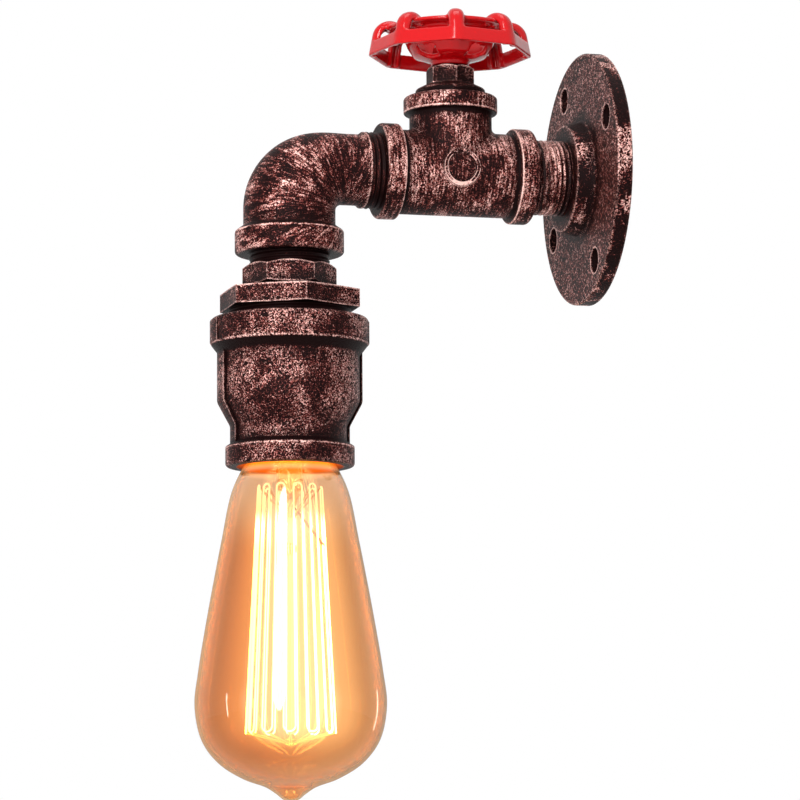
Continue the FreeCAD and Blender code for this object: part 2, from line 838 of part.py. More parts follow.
def handwheel():
    # Pressed sheet wheel: an eight-sided skirt that leans inwards, dished spokes, a raised rim plate, and
    # eight arched fingers of channel section that join skirt and plate, with open slots between them.
    body = new_body("handwheel", y=port_y, z=wheel_level(), turn=Rotation(Vector(0, 0, 1), size.wheel_phase.value))
    body.setExpression("Placement.Rotation.Angle", size.wheel_phase.text)
    sheet = size.wheel_sheet
    half_corner = 180 / size.wheel_lobes
    narrowing = size.wheel_skirt_height * tangent(size.wheel_lean)

    def skirt_level(thickness, lean_in, level):
        sketch = new_sketch(body, "XY_Plane", "skirt_outline", level)
        corner = size.wheel_corner_radius - (thickness + lean_in) / cosine(half_corner)
        rounding = size.wheel_corner_round - thickness
        outline(sketch, [(x, y, rounding) for x, y in polygon(int(size.wheel_lobes.value), corner, 0)])
        return sketch

    for name, kind, thickness in (
        ("skirt", "AdditiveLoft", sheet * 0),
        ("skirt_hollow", "SubtractiveLoft", sheet),
    ):
        low = skirt_level(thickness, 0, 0)
        loft = body.newObject("PartDesign::" + kind, name)
        loft.Profile = low
        loft.Sections = [skirt_level(thickness, narrowing, size.wheel_skirt_height)]
        loft.Ruled = True
        doc.recompute()
    hub_foot = -size.wheel_hub_rise
    bore = size.spindle_radius + size.thread_clearance
    plate_under = size.wheel_plate_height - sheet
    revolve(body, "dish", [
        (bore, hub_foot),
        (size.wheel_hub_radius, hub_foot, sheet / 3),
        (size.wheel_hub_radius, hub_foot + sheet * 1.1),
        (size.wheel_floor_radius, -sheet / 4, sheet),
        (size.wheel_wall_radius, size.wheel_wall_foot, sheet * 2),
        (size.wheel_plate_inner + sheet, plate_under, sheet / 2),
        (size.wheel_plate_radius, plate_under),
        (size.wheel_plate_radius, size.wheel_plate_height, sheet / 3),
        (size.wheel_plate_inner, size.wheel_plate_height, sheet / 4),
        (size.wheel_wall_radius - sheet, size.wheel_wall_foot + sheet / 2, sheet),
        (size.wheel_floor_radius - sheet / 2, sheet * 0.8, sheet / 2),
        (size.wheel_hub_radius - sheet / 4, hub_foot + sheet * 2.2),
        (size.wheel_hub_radius - sheet / 2, hub_foot + size.wheel_hub_height, sheet / 4),
        (bore, hub_foot + size.wheel_hub_height),
    ])
    middle = 180 / size.wheel_spokes
    corners = []
    for radius, turn in (
        (size.window_inner_radius, -size.window_half_angle),
        (size.window_outer_radius, -size.window_half_angle),
        (size.window_outer_radius, size.window_half_angle),
        (size.window_inner_radius, size.window_half_angle),
    ):
        corners.append((radius * cosine(middle + turn), radius * sine(middle + turn), size.window_round))
    window = extrude(body, "window", "XY_Plane", lambda sketch: outline(sketch, corners),
                     size.wheel_plate_height, -size.wheel_hub_rise, cut=True)
    repeat(body, window, size.wheel_spokes, "windows")
    # A finger's back rises from the skirt's rounded corner at that corner's lean, turns over the crest and
    # comes down to the plate.
    lean_ratio = tangent(size.wheel_lean) / cosine(half_corner)
    lean = Size(math.degrees(math.atan(lean_ratio.value)), "atan(%s)" % lean_ratio.text)
    foot = size.wheel_corner_radius - size.wheel_corner_round * (1 / cosine(half_corner) - 1)
    bend = size.finger_bend
    middle_height = size.finger_crest_height - bend
    crest = foot - bend * cosine(lean) - (middle_height + bend * sine(lean)) * lean_ratio
    slope = size.finger_slope
    touch = crest - bend * sine(slope)
    touch_height = middle_height + bend * cosine(slope)
    turn_height = (touch_height + (foot - touch) * tangent(slope)) / (1 + tangent(slope) * lean_ratio)
    root = size.wheel_plate_inner + sheet / 3
    spine = new_sketch(body, "XZ_Plane", "finger_spine")
    outline(spine, [
        (foot, 0),
        (foot - turn_height * lean_ratio, turn_height, bend),
        (root, touch_height + (root - touch) * tangent(slope)),
    ], closed=False)
    section = new_sketch(body, "XY_Plane", "finger_section")
    half = size.finger_width / 2
    outline(section, [
        (foot - size.finger_depth, -half),
        (foot, -half, size.finger_round),
        (foot, half, size.finger_round),
        (foot - size.finger_depth, half),
        (foot - size.finger_depth, half - sheet),
        (foot - sheet, half - sheet, size.finger_round - sheet),
        (foot - sheet, sheet - half, size.finger_round - sheet),
        (foot - size.finger_depth, sheet - half),
    ])
    finger = body.newObject("PartDesign::AdditivePipe", "finger")
    finger.Profile = section
    finger.Spine = spine
    doc.recompute()
    repeat(body, finger, size.wheel_lobes, "fingers")


# Street elbow: male thread in the tee, female band below


def elbow_sections(wall):
    # Circles of the bend: each spans from a point of the inner arc to a point of the outer arc.
    inner_y = size.elbow_tube_radius + size.elbow_inner_bend
    inner_z = -size.elbow_neck_radius - size.elbow_inner_bend
    outer_y = size.elbow_outer_bend - size.elbow_tube_radius
    outer_z = size.elbow_neck_radius - size.elbow_outer_bend
    sections = []
    for inner_turn, outer_turn in ((0, 0), (20, 5), (38, 25), (55, 48), (72, 70), (90, 90)):
        near = (
            inner_y - size.elbow_inner_bend * sine(inner_turn),
            inner_z + size.elbow_inner_bend * cosine(inner_turn),
        )
        far = (
            outer_y - size.elbow_outer_bend * sine(outer_turn),
            outer_z + size.elbow_outer_bend * cosine(outer_turn),
        )
        if inner_turn == 0:
            far = (inner_y, size.elbow_neck_radius)
        if inner_turn == 90:
            far = (-size.elbow_tube_radius, inner_z)
        sections.append((near, far, wall))
    return sections


def elbow_loft(body, name, wall, cut):
    sketches = []
    for i, (near, far, inset) in enumerate(elbow_sections(wall)):
        across = math.hypot(far[0].value - near[0].value, far[1].value - near[1].value)
        tilt = math.degrees(math.atan2(far[1].value - near[1].value, far[0].value - near[0].value))
        middle_y = (near[0] + far[0]) / 2
        middle_z = (near[1] + far[1]) / 2
        sketch = new_sketch(body, "XY_Plane", "%s_section_%d" % (name, i + 1))
        turn = Rotation(Vector(1, 0, 0), tilt)
        sketch.AttachmentOffset = Placement(Vector(0, middle_y.value, middle_z.value), turn)
        sketch.setExpression("AttachmentOffset.Base.y", middle_y.text)
        sketch.setExpression("AttachmentOffset.Base.z", middle_z.text)
        rise = (far[1] - near[1]).text
        run = (far[0] - near[0]).text
        span = Size(across, "sqrt((%s)^2 + (%s)^2)" % (rise, run))
        circle_in(sketch, 0, 0, span / 2 - inset if number(inset) else span / 2)
        sketches.append(sketch)
    loft = body.newObject("PartDesign::SubtractiveLoft" if cut else "PartDesign::AdditiveLoft", name)
    loft.Profile = sketches[0]
    loft.Sections = sketches[1:]
    doc.recompute()


def street_elbow():
    body = new_body("street_elbow", y=drop_y)
    reach = size.elbow_reach
    end = reach + size.thread_depth
    shoulder = reach - size.elbow_shoulder_gap
    bend_start = size.elbow_tube_radius + size.elbow_inner_bend
    bend_foot = -size.elbow_neck_radius - size.elbow_inner_bend
    elbow_loft(body, "bend", 0, False)
    revolve(body, "thread_and_neck", [
        (bend_start, 0),
        (bend_start, size.elbow_neck_radius),
        (shoulder - size.elbow_shoulder_width * 2, size.elbow_neck_radius, size.elbow_shoulder_width * 2),
        (shoulder - size.elbow_shoulder_width, size.elbow_shoulder_radius, size.elbow_shoulder_edge),
        (shoulder, size.elbow_shoulder_radius, size.elbow_shoulder_edge),
        (shoulder + size.elbow_shoulder_width / 2, size.pipe_radius),
        (end, size.pipe_radius),
        (end, 0),
    ], "YZ_Plane", "H_Axis")
    web = size.band_edge * 0.8
    revolve(body, "band", [
        (0, bend_foot),
        (size.elbow_tube_radius, bend_foot),
        (size.elbow_tube_radius, -size.elbow_band_top + size.elbow_band_step, web),
        (size.elbow_band_radius, -size.elbow_band_top, size.band_edge),
        (size.elbow_band_radius, -size.elbow_face, size.band_edge),
        (0, -size.elbow_face),
    ])
    elbow_loft(body, "waterway", size.elbow_wall, True)
    bore = size.elbow_neck_radius - size.elbow_wall
    revolve(body, "neck_bore", [
        (bend_start, 0),
        (bend_start, bore),
        (end, bore),
        (end, 0),
    ], "YZ_Plane", "H_Axis", cut=True)
    socket = size.small_thread_radius + size.thread_clearance
    tube_bore = size.elbow_tube_radius - size.elbow_wall
    revolve(body, "socket", [
        (0, bend_foot),
        (tube_bore, bend_foot),
        (tube_bore, size.small_thread_length - size.elbow_face),
        (socket, size.small_thread_length - size.elbow_face),
        (socket, -size.elbow_face),
        (0, -size.elbow_face),
    ], cut=True)


# Small hexagon nipple, large hexagon bushing and reducing coupling, one below the other


def small_hex_top():
    return -size.elbow_face - size.small_gap


def small_hex_bottom():
    return small_hex_top() - size.small_height


def large_hex_top():
    return small_hex_bottom() - size.large_gap


def large_hex_bottom():
    return large_hex_top() - size.large_height


def coupling_top():
    return large_hex_bottom() - size.large_collar


def bushing_end():
    return coupling_top() - size.large_thread_length


def hex_nipple():
    body = new_body("hex_nipple", y=drop_y)
    top = size.small_thread_length - size.elbow_face - size.thread_runout
    bottom = small_hex_bottom() - size.small_thread_length
    revolve(body, "threads", [
        (0, bottom),
        (size.small_thread_radius, bottom),
        (size.small_thread_radius, top),
        (0, top),
    ])
    hexagon(body, "hexagon", size.small_flats, size.small_phase, small_hex_bottom(), size.small_height,
            size.small_chamfer, size.small_chamfer / 2)
    revolve(body, "nipple_bore", [
        (0, bottom),
        (size.small_nipple_bore, bottom),
        (size.small_nipple_bore, top),
        (0, top),
    ], cut=True)


def hex_bushing():
    body = new_body("hex_bushing", y=drop_y)
    revolve(body, "bushing_thread", [
        (0, bushing_end()),
        (size.large_thread_radius, bushing_end()),
        (size.large_thread_radius, large_hex_bottom() + size.thread_runout),
        (0, large_hex_bottom() + size.thread_runout),
    ])
    hexagon(body, "large_hexagon", size.large_flats, 0, large_hex_bottom(), size.large_height,
            size.large_chamfer, size.large_chamfer)
    thread = size.small_thread_radius + size.thread_clearance
    step = small_hex_bottom() - size.small_thread_length - size.thread_runout
    revolve(body, "bushing_bore", [
        (0, bushing_end()),
        (size.large_room_radius, bushing_end()),
        (size.large_room_radius, step),
        (thread, step + size.thread_runout),
        (thread, large_hex_top()),
        (0, large_hex_top()),
    ], cut=True)


def coupling_profile(relief=0):
    # Outside of the coupling below its top band, as (radius, height) from the coupling's top.
    return [
        (size.cup_radius + relief, -size.cup_start, size.band_edge),
        (size.cup_radius + relief, -size.cup_end, size.band_edge * 3),
        (size.neck_radius + relief, -size.neck_start, size.band_edge * 2),
        (size.neck_radius + relief, -size.neck_end, size.band_edge * 0.6),
    ]


def reducer_coupling():
    body = new_body("reducer_coupling", y=drop_y, z=coupling_top())
    bottom = -size.coupling_length
    revolve(body, "casting", [
        (0, bottom),
        (size.low_band_radius, bottom, size.band_edge),
        (size.low_band_radius, -size.low_band_start, size.band_edge / 2),
    ] + coupling_profile()[::-1] + [
        (size.top_band_radius, -size.top_band_width, size.band_edge),
        (size.top_band_radius, 0, size.band_edge),
        (0, 0),
    ])
    core = (size.neck_bore_radius + size.neck_radius) / 2
    rib = revolve(body, "rib", [
        (core, -size.low_band_start - size.band_edge),
        (size.neck_radius + size.rib_height, -size.low_band_start - size.band_edge),
    ] + coupling_profile(size.rib_height)[::-1][1:-1] + [
        (size.cup_radius + size.rib_height, -size.top_band_width - size.band_edge),
        (size.top_band_radius + size.rib_height / 3, -size.top_band_width, size.band_edge),
        (size.top_band_radius + size.rib_height / 3, -size.band_edge / 2, size.band_edge / 2),
        (core, -size.band_edge / 2),
    ], "YZ_Plane", angle=size.rib_angle)
    repeat(body, rib, 2, "ribs")
    thread = size.large_thread_radius + size.thread_clearance
    thread_end = -size.large_thread_length
    shoulder = coupling_shoulder() - coupling_top()
    slope = size.cup_bore_radius - size.neck_bore_radius
    revolve(body, "coupling_bore", [
        (0, bottom),
        (size.mouth_radius, bottom),
        (size.neck_bore_radius, bottom + size.mouth_depth),
        (size.neck_bore_radius, shoulder - slope),
        (size.neck_bore_radius + slope, shoulder),
        (size.cup_bore_radius, thread_end - size.thread_runout),
        (thread, thread_end),
        (thread, 0),
        (0, 0),
    ], cut=True)


# Lamp socket, clamped between the bushing and the coupling's inner shoulder


def socket_top():
    return bushing_end() - size.socket_washer


def coupling_shoulder():
    return socket_top() - size.socket_shoulder


def floor_bottom():
    return socket_top() - size.socket_floor


def lampholder_washer():
    body = new_body("lampholder_washer", y=drop_y)
    revolve(body, "fibre_ring", [
        (size.socket_washer_bore, socket_top()),
        (size.socket_radius, socket_top()),
        (size.socket_radius, bushing_end()),
        (size.socket_washer_bore, bushing_end()),
    ])


def lampholder_body():
    body = new_body("lampholder_body", y=drop_y)
    top = socket_top()
    bottom = top - size.socket_length
    shoulder = coupling_shoulder()
    slope = size.socket_radius - size.socket_nose_radius
    inner = size.shell_radius + size.shell_wall
    revolve(body, "porcelain", [
        (0, top),
        (size.socket_radius, top, size.socket_edge * 2),
        (size.socket_radius, shoulder + size.socket_edge),
        (size.socket_nose_radius, shoulder + size.socket_edge - slope),
        (size.socket_nose_radius, bottom, size.socket_edge * 1.5),
        (inner, bottom, size.socket_edge),
        (inner, floor_bottom()),
        (0, floor_bottom()),
    ])

    def legs(sketch):
        hole = size.terminal_leg_radius + size.thread_clearance
        circle_in(sketch, size.live_leg_place, 0, hole)
        circle_in(sketch, -size.neutral_leg_place, 0, hole)

    extrude(body, "leg_holes", "XY_Plane", legs, size.socket_floor, floor_bottom(), cut=True)


def lampholder_shell():
    body = new_body("lampholder_shell", y=drop_y)
    top = floor_bottom()
    bottom = top - size.shell_length
    outer = size.shell_radius + size.shell_wall
    revolve(body, "shell", [
        (size.shell_flange_bore, top),
        (outer, top),
        (outer, bottom),
        (size.shell_radius, bottom),
        (size.shell_radius, top - size.shell_wall),
        (size.shell_flange_bore, top - size.shell_wall),
    ])


def lampholder_contact():
    # Bent strip: it lies on the socket's floor at the live leg and dips to the bulb's tip.
    body = new_body("lampholder_contact", y=drop_y)
    top = floor_bottom()
    thickness = size.centre_contact_drop / 2
    outer = size.live_leg_place + size.terminal_leg_radius
    end = -size.centre_contact_width / 2
    bend = size.centre_contact_width / 5
    extrude(body, "strip", "XZ_Plane", lambda sketch: outline(sketch, [
        (outer, top),
        (bend * 2, top),
        (bend, top - thickness),
        (end, top - thickness),
        (end, top - thickness * 2),
        (bend * 1.4, top - thickness * 2),
        (bend * 2.4, top - thickness),
        (outer, top - thickness),
    ]), size.centre_contact_width, middle=True)


def lampholder_terminals():
    blocks = []
    top = socket_top().value
    floor = floor_bottom().value
    depth = size.terminal_depth.value
    width = size.terminal_width.value
    height = size.terminal_height.value
    leg_radius = size.terminal_leg_radius.value
    for side, leg_place in ((1, size.live_leg_place.value), (-1, size.neutral_leg_place.value)):
        middle = side * (size.wire_side.value + width / 10)
        corner = Vector(middle - width / 2, -depth / 2, top)
        block = Part.makeBox(width, depth, height, corner)
        reach = side * leg_place
        if abs(reach - middle) > width / 2 - leg_radius:
            near = Vector(reach - leg_radius, -leg_radius, top)
            block = block.fuse(Part.makeBox(width, leg_radius * 2, height / 4, near))
        leg = Part.makeCylinder(leg_radius, top - floor + height / 8, Vector(reach, 0, floor))
        hole = Part.makeCylinder(size.wire_hole_radius.value, size.wire_grip.value,
                                 Vector(side * size.wire_side.value, 0, top + height - size.wire_grip.value))
        screw = Part.makeCylinder(size.clamp_screw_radius.value, depth / 2,
                                  Vector(side * size.wire_side.value, 0, top + height / 2), Vector(0, -1, 0))
        blocks.append(block.fuse(leg).cut(hole).cut(screw).removeSplitter())
    free_shape("lampholder_terminals", Part.makeCompound(blocks), y=drop_y)


def clamp_screw(place_at, direction, shank):
    # Cheese-head screw, its head's underside at place_at.
    head = Part.makeCylinder(size.clamp_head_radius.value, size.clamp_head_height.value, place_at, direction)
    body = Part.makeCylinder(size.clamp_screw_radius.value, shank, place_at, -direction)
    return head.fuse(body).removeSplitter()


def lampholder_screws():
    screws = []
    level = socket_top().value + size.terminal_height.value / 2
    out = size.terminal_depth.value / 2
    for side in (1, -1):
        start = Vector(side * size.wire_side.value, -out, level)
        screws.append(clamp_screw(start, Vector(0, -1, 0), out - size.wire_radius.value))
    free_shape("lampholder_screws", Part.makeCompound(screws), y=drop_y)


# Supply connector in the arm at the flange, and the three wires


def connector_level():
    # The block's lower edges rest in the pipe's bore.
    half = size.connector_width.value / 2
    bore = size.pipe_bore_radius.value
    return -math.sqrt(bore * bore - half * half) + size.thread_clearance.value


def clamp_seats(level):
    # Places of the four clamp screws on the connector, two above each wire.
    length = size.connector_length.value
    start = -size.connector_start.value - length
    share = size.clamp_share.value
    return [
        Vector(side * size.wire_side.value, start + length * depth, level)
        for side in (1, -1) for depth in (share, 1 - share)
    ]


def supply_connector():
    width = size.connector_width.value
    length = size.connector_length.value
    start = -size.connector_start.value - length
    level = connector_level()
    block = Part.makeBox(width, length, size.connector_height.value, Vector(-width / 2, start, level))
    for side in (1, -1):
        x = side * size.wire_side.value
        hole = Part.makeCylinder(size.wire_hole_radius.value, length,
                                 Vector(x, start, -size.wire_level.value), Vector(0, 1, 0))
        block = block.cut(hole)
    height = level + size.connector_height.value + size.wire_level.value
    for seat in clamp_seats(-size.wire_level.value):
        block = block.cut(Part.makeCylinder(size.clamp_screw_radius.value, height, seat))
    free_shape("supply_connector", block.removeSplitter())


def connector_screws():
    top = connector_level() + size.connector_height.value
    shank = top + size.wire_level.value - size.wire_radius.value
    screws = [clamp_screw(seat, Vector(0, 0, 1), shank) for seat in clamp_seats(top)]
    free_shape("connector_screws", Part.makeCompound(screws))


def wire(label, points):
    # Round wire along straight runs joined by tangent arcs of the wire's bend radius.
    bend = size.wire_bend.value
    edges = []
    last = points[0]
    for before, corner, after in zip(points, points[1:], points[2:]):
        back = (before - corner).normalize()
        ahead = (after - corner).normalize()
        half = back.getAngle(ahead) / 2
        reach = bend / math.tan(half)
        start = corner + back * reach
        end = corner + ahead * reach
        centre = corner + (back + ahead).normalize() * (bend / math.sin(half))
        middle = centre + (corner - centre).normalize() * bend
        edges.append(Part.LineSegment(last, start).toShape())
        edges.append(Part.Arc(start, middle, end).toShape())
        last = end
    edges.append(Part.LineSegment(last, points[-1]).toShape())
    path = Part.Wire(edges)
    circle = Part.Circle(points[0], points[1] - points[0], size.wire_radius.value)
    tube = path.makePipeShell([Part.Wire(circle.toShape())], True, False)
    free_shape(label, tube)
    print("%s: %.1f mm long" % (label, path.Length))


def wires():
    level = -size.wire_level.value
    side = size.wire_side.value
    inner = -size.connector_start.value - size.connector_length.value + size.wire_grip.value
    half_tab = size.contact_thickness.value / 2
    spread = size.contact_spread.value
    near_tab = port_y.value + spread + half_tab
    far_tab = port_y.value - spread - half_tab
    drop = drop_y.value
    end = socket_top().value + size.terminal_height.value - size.wire_grip.value
    wire("wire_supply_live", [Vector(side, inner, level), Vector(side, near_tab, level)])
    for label, x, start in (("wire_switched_live", side, far_tab), ("wire_neutral", -side, inner)):
        wire(label, [Vector(x, start, level), Vector(x, drop, level), Vector(x, drop, end)])


# Bulb: its axis points down from the tip contact, so lengths below are measured from that tip


def bulb_tip():
    return floor_bottom() - size.centre_contact_drop - size.moving_gap


def bulb_body(label):
    return new_body(label, y=drop_y, z=bulb_tip())


# Places along the blown glass as shares of its length, each with its share of the greatest radius.
glass_shape = (
    (0.046, 0.493), (0.117, 0.612), (0.256, 0.718), (0.482, 0.873), (0.632, 0.962),
    (0.730, 1.0), (0.828, 0.926), (0.893, 0.750), (0.938, 0.490),
)


def glass_curves():
    # The outside of the blown glass: from its neck to the pip's foot, and over the pip to the axis.
    widest = size.bulb_radius.value
    rim = size.cap_length.value
    length = size.bulb_length.value
    pip_radius = size.pip_radius.value
    pip_length = size.pip_length.value
    points = [Vector(size.bulb_neck_radius.value, 0, -rim)]
    points += [Vector(widest * wide, 0, -rim - (length - rim) * deep) for deep, wide in glass_shape]
    foot = Vector(pip_radius, 0, pip_length - length)
    throat = Vector(pip_radius * 0.62, 0, pip_length * 0.56 - length)
    slope = Vector(-1, 0, -0.55)
    body = Part.BSplineCurve()
    body.interpolate(points + [foot], InitialTangent=Vector(0, 0, -1), FinalTangent=slope)
    pip = Part.BSplineCurve()
    pip.interpolate([foot, throat, Vector(0, 0, -length)], InitialTangent=slope, FinalTangent=Vector(-1, 0, 0))
    return [(body, points + [foot]), (pip, [foot, throat, Vector(0, 0, -length)])]


def inner_curve(curve, points, wall):
    # The same curve one wall thickness further in.
    inner_points = []
    ends = []
    for point in points:
        way = curve.tangent(curve.parameter(point))[0]
        inner_points.append(point + Vector(way.z, 0, -way.x) * wall)
        ends.append(way)
    inner = Part.BSplineCurve()
    inner.interpolate(inner_points, InitialTangent=ends[0], FinalTangent=ends[-1])
    return inner, inner_points


def bulb_glass():
    wall = size.bulb_wall.value
    outside = glass_curves()
    inside = [inner_curve(curve, points, wall) for curve, points in outside]
    top = Vector(0, 0, -(size.stem_start + size.cap_start).value / 2)
    forms = []
    for (body, body_points), (pip, pip_points) in (outside, inside):
        start = body_points[0]
        edges = [
            Part.LineSegment(top, Vector(start.x, 0, top.z)).toShape(),
            Part.LineSegment(Vector(start.x, 0, top.z), start).toShape(),
            body.toShape(),
            pip.toShape(),
            Part.LineSegment(pip_points[-1], top).toShape(),
        ]
        forms.append(Part.Face(Part.Wire(edges)).revolve(Vector(0, 0, 0), Vector(0, 0, 1), 360))
    free_shape("bulb_glass", forms[0].cut(forms[1]), y=drop_y, z=bulb_tip())


def cap_lip():
    # Depth of the lip that the cap turns inwards over the glass insulator.
    return size.cap_start - size.cap_lip_width


def insulator_edge():
    return size.insulator_radius - size.cap_lip_width


def bulb_screw_base():
    body = bulb_body("bulb_screw_base")
    outer = size.cap_radius
    inner = outer - size.cap_wall
    start = size.cap_start
    lip = insulator_edge()
    revolve(body, "cap", [
        (lip, -cap_lip()),
        (size.insulator_radius, -cap_lip()),
        (outer, -start),
        (outer, -size.cap_length),
        (inner, -size.cap_length),
        (inner, -start - size.cap_wall),
        (lip, -cap_lip() - size.cap_wall),
    ])


def bulb_base_insulator():
    body = bulb_body("bulb_base_insulator")
    tip = size.tip_contact_radius
    height = size.tip_contact_height
    revolve(body, "glass_insulator", [
        (0, -cap_lip() - size.cap_wall),
        (0, -height),
        (tip, -height),
        (insulator_edge(), -cap_lip() + size.cap_lip_width),
        (insulator_edge(), -cap_lip() - size.cap_wall),
    ])


def bulb_tip_contact():
    body = bulb_body("bulb_tip_contact")
    tip = size.tip_contact_radius
    revolve(body, "tip", [
        (0, -size.tip_contact_height),
        (tip, -size.tip_contact_height),
        (tip, -size.tip_contact_height / 2, size.tip_contact_height / 3),
        (tip / 2, 0, size.tip_contact_height),
        (0, 0),
    ])


def bulb_stem():
    body = bulb_body("bulb_stem")
    rim = size.bulb_neck_radius - size.bulb_wall - size.thread_clearance
    start = size.stem_start
    tube = size.stem_radius
    end = size.stem_end
    wall = size.bulb_wall
    revolve(body, "stem", [
        (rim, -start),
        (tube, -start - size.stem_flare, size.stem_flare / 3),
        (tube, -end + size.stem_pinch, tube / 2),
        (pinch_radius(), -end),
        (0, -end),
        (0, -end + size.stem_pinch * 0.7),
        (tube - wall, -end + size.stem_pinch * 1.3),
        (tube - wall, -start - size.stem_flare + wall, size.stem_flare / 3),
        (rim - wall, -start),
    ])


def pinch_radius():
    # Radius of the pinched end of the stem, from which the rod and the leads come.
    return size.rod_radius + size.bulb_wall


def bulb_centre_rod():
    body = bulb_body("bulb_centre_rod")
    rod = size.rod_radius
    bead = size.bead_radius
    place_at = size.bead_place
    end = size.rod_end
    revolve(body, "rod", [
        (0, -size.stem_end),
        (rod, -size.stem_end),
        (rod, -place_at + bead),
        (bead, -place_at + bead / 2, bead / 3),
        (bead, -place_at - bead / 2, bead / 3),
        (rod, -place_at - bead),
        (rod, -end + bead * 2),
        (bead, -end + bead, bead / 3),
        (bead, -end + bead / 3, bead / 3),
        (0, -end),
    ])


def cage_radius(depth):
    # Radius of the filament's cage at a depth below the bulb's tip contact.
    top = size.filament_top.value
    share = (depth - top) / (size.filament_bottom.value - top)
    return size.filament_top_radius.value + share * (
        size.filament_bottom_radius.value - size.filament_top_radius.value)


def cage_point(angle, depth):
    turn = math.radians(angle)
    radius = cage_radius(depth)
    return Vector(radius * math.cos(turn), radius * math.sin(turn), -depth)


def strand_angles():
    strands = 2 * int(size.filament_loops.value)
    return [size.filament_phase.value + 360.0 * (k + 0.5) / strands for k in range(strands)]


def turn_arc(one, other, beyond):
    # Half turn between two strands, tangent to both: each strand is (point, direction towards the turn).
    (start, way), (end, other_way) = one, other
    middle = (start + end) * 0.5
    axis = (way + other_way).normalize()
    half = (end - start).Length / 2
    lean = way.dot(start - end) / (2 * half)
    radius = half / math.sqrt(1 - lean * lean)
    centre = middle + axis * (radius * lean)
    return Part.Arc(start, centre + axis * radius * beyond, end)


def bulb_filament():
    # One unbroken wire: it runs down and up the cage as hairpins, from one lead to the other.
    angles = strand_angles()
    top = size.filament_top.value
    bottom = size.filament_bottom.value
    edges = []
    points = []
    for k, angle in enumerate(angles):
        high = size.filament_start.value if k in (0, len(angles) - 1) else top
        upper = cage_point(angle, high)
        lower = cage_point(angle, bottom)
        first, last = (upper, lower) if k % 2 == 0 else (lower, upper)
        edges.append(Part.LineSegment(first, last).toShape())
        points += [first + (last - first) * (i / 20.0) for i in range(21)]
        if k + 1 == len(angles):
            break
        following = angles[k + 1]
        if k % 2 == 0:
            next_start = cage_point(following, bottom)
            down = (lower - cage_point(angle, top)).normalize()
            down_next = (next_start - cage_point(following, top)).normalize()
            arc = turn_arc((lower, down), (next_start, down_next), 1)
        else:
            next_start = cage_point(following, top)
            rise = (upper - cage_point(angle, bottom)).normalize()
            rise_next = (next_start - cage_point(following, bottom)).normalize()
            arc = turn_arc((last, rise), (next_start, rise_next), 1)
        edges.append(arc.toShape())
        points += [arc.value(arc.FirstParameter + (arc.LastParameter - arc.FirstParameter) * i / 8.0)
                   for i in range(1, 8)]
    path = Part.Wire(edges)
    start = edges[0].Vertexes[0].Point
    circle = Part.Circle(start, edges[0].tangentAt(edges[0].FirstParameter), size.filament_radius.value)
    tube = path.makePipeShell([Part.Wire(circle.toShape())], True, False)
    least = least_gap(points) - 2 * size.filament_radius.value
    section = math.pi * size.filament_radius.value ** 2
    print("filament: %.0f mm long, least gap to itself %.2f mm" % (path.Length, least))
    print("filament volume / (section x length): %.4f" % (tube.Volume / (section * path.Length)))
    free_shape("bulb_filament", tube, y=drop_y, z=bulb_tip())


def least_gap(points):
    # Least distance between points that are not neighbours along the wire.
    apart = 6
    least = 1000.0
    for i, one in enumerate(points):
        for other in points[i + apart:]:
            least = min(least, one.distanceToPoint(other))
    return least


def straight_wire(start, end, radius):
    return Part.makeCylinder(radius, (end - start).Length, start, end - start)


def hooks(label, loops, depth, from_radius, from_depth):
    # Straight wires from the rod, or from its bead, to the turns of the filament.
    radius = size.support_radius.value
    clear = size.filament_radius.value + radius
    rays = []
    for angle in loops:
        outer = cage_point(angle, depth)
        turn = math.radians(angle)
        root = from_radius + radius * 1.2
        start = Vector(root * math.cos(turn), root * math.sin(turn), -from_depth)
        way = (outer - start).normalize()
        rays.append(straight_wire(start, outer - way * clear, radius))
    free_shape(label, Part.makeCompound(rays), y=drop_y, z=bulb_tip())


def bulb_supports():
    angles = strand_angles()
    half_chord = math.pi / len(angles)
    top = size.filament_top.value
    bottom = size.filament_bottom.value
    upper_turns = [(angles[k] + angles[k + 1]) / 2 for k in range(1, len(angles) - 1, 2)]
    lower_turns = [(angles[k] + angles[k + 1]) / 2 for k in range(0, len(angles), 2)]
    upper = top - half_chord * size.filament_top_radius.value
    lower = bottom + half_chord * size.filament_bottom_radius.value
    hooks("bulb_upper_supports", upper_turns, upper, size.rod_radius.value,
          (size.stem_end + size.support_drop).value)
    hooks("bulb_lower_supports", lower_turns, lower, size.bead_radius.value,
          (size.rod_end - size.bead_radius * 0.6).value)


def bulb_lead_wires():
    angles = strand_angles()
    leads = []
    radius = size.support_radius.value
    root = (size.rod_radius.value + pinch_radius().value) / 2
    depth = size.stem_end.value + radius * 1.2
    for angle, side in ((angles[0], 1), (angles[-1], -1)):
        inner = math.radians(angle + side * size.lead_spread.value)
        start = Vector(root * math.cos(inner), root * math.sin(inner), -depth)
        end = cage_point(angle, size.filament_start.value)
        way = (end - start).normalize()
        leads.append(straight_wire(start, end - way * (size.filament_radius.value + radius), radius))
    free_shape("bulb_lead_wires", Part.makeCompound(leads), y=drop_y, z=bulb_tip())


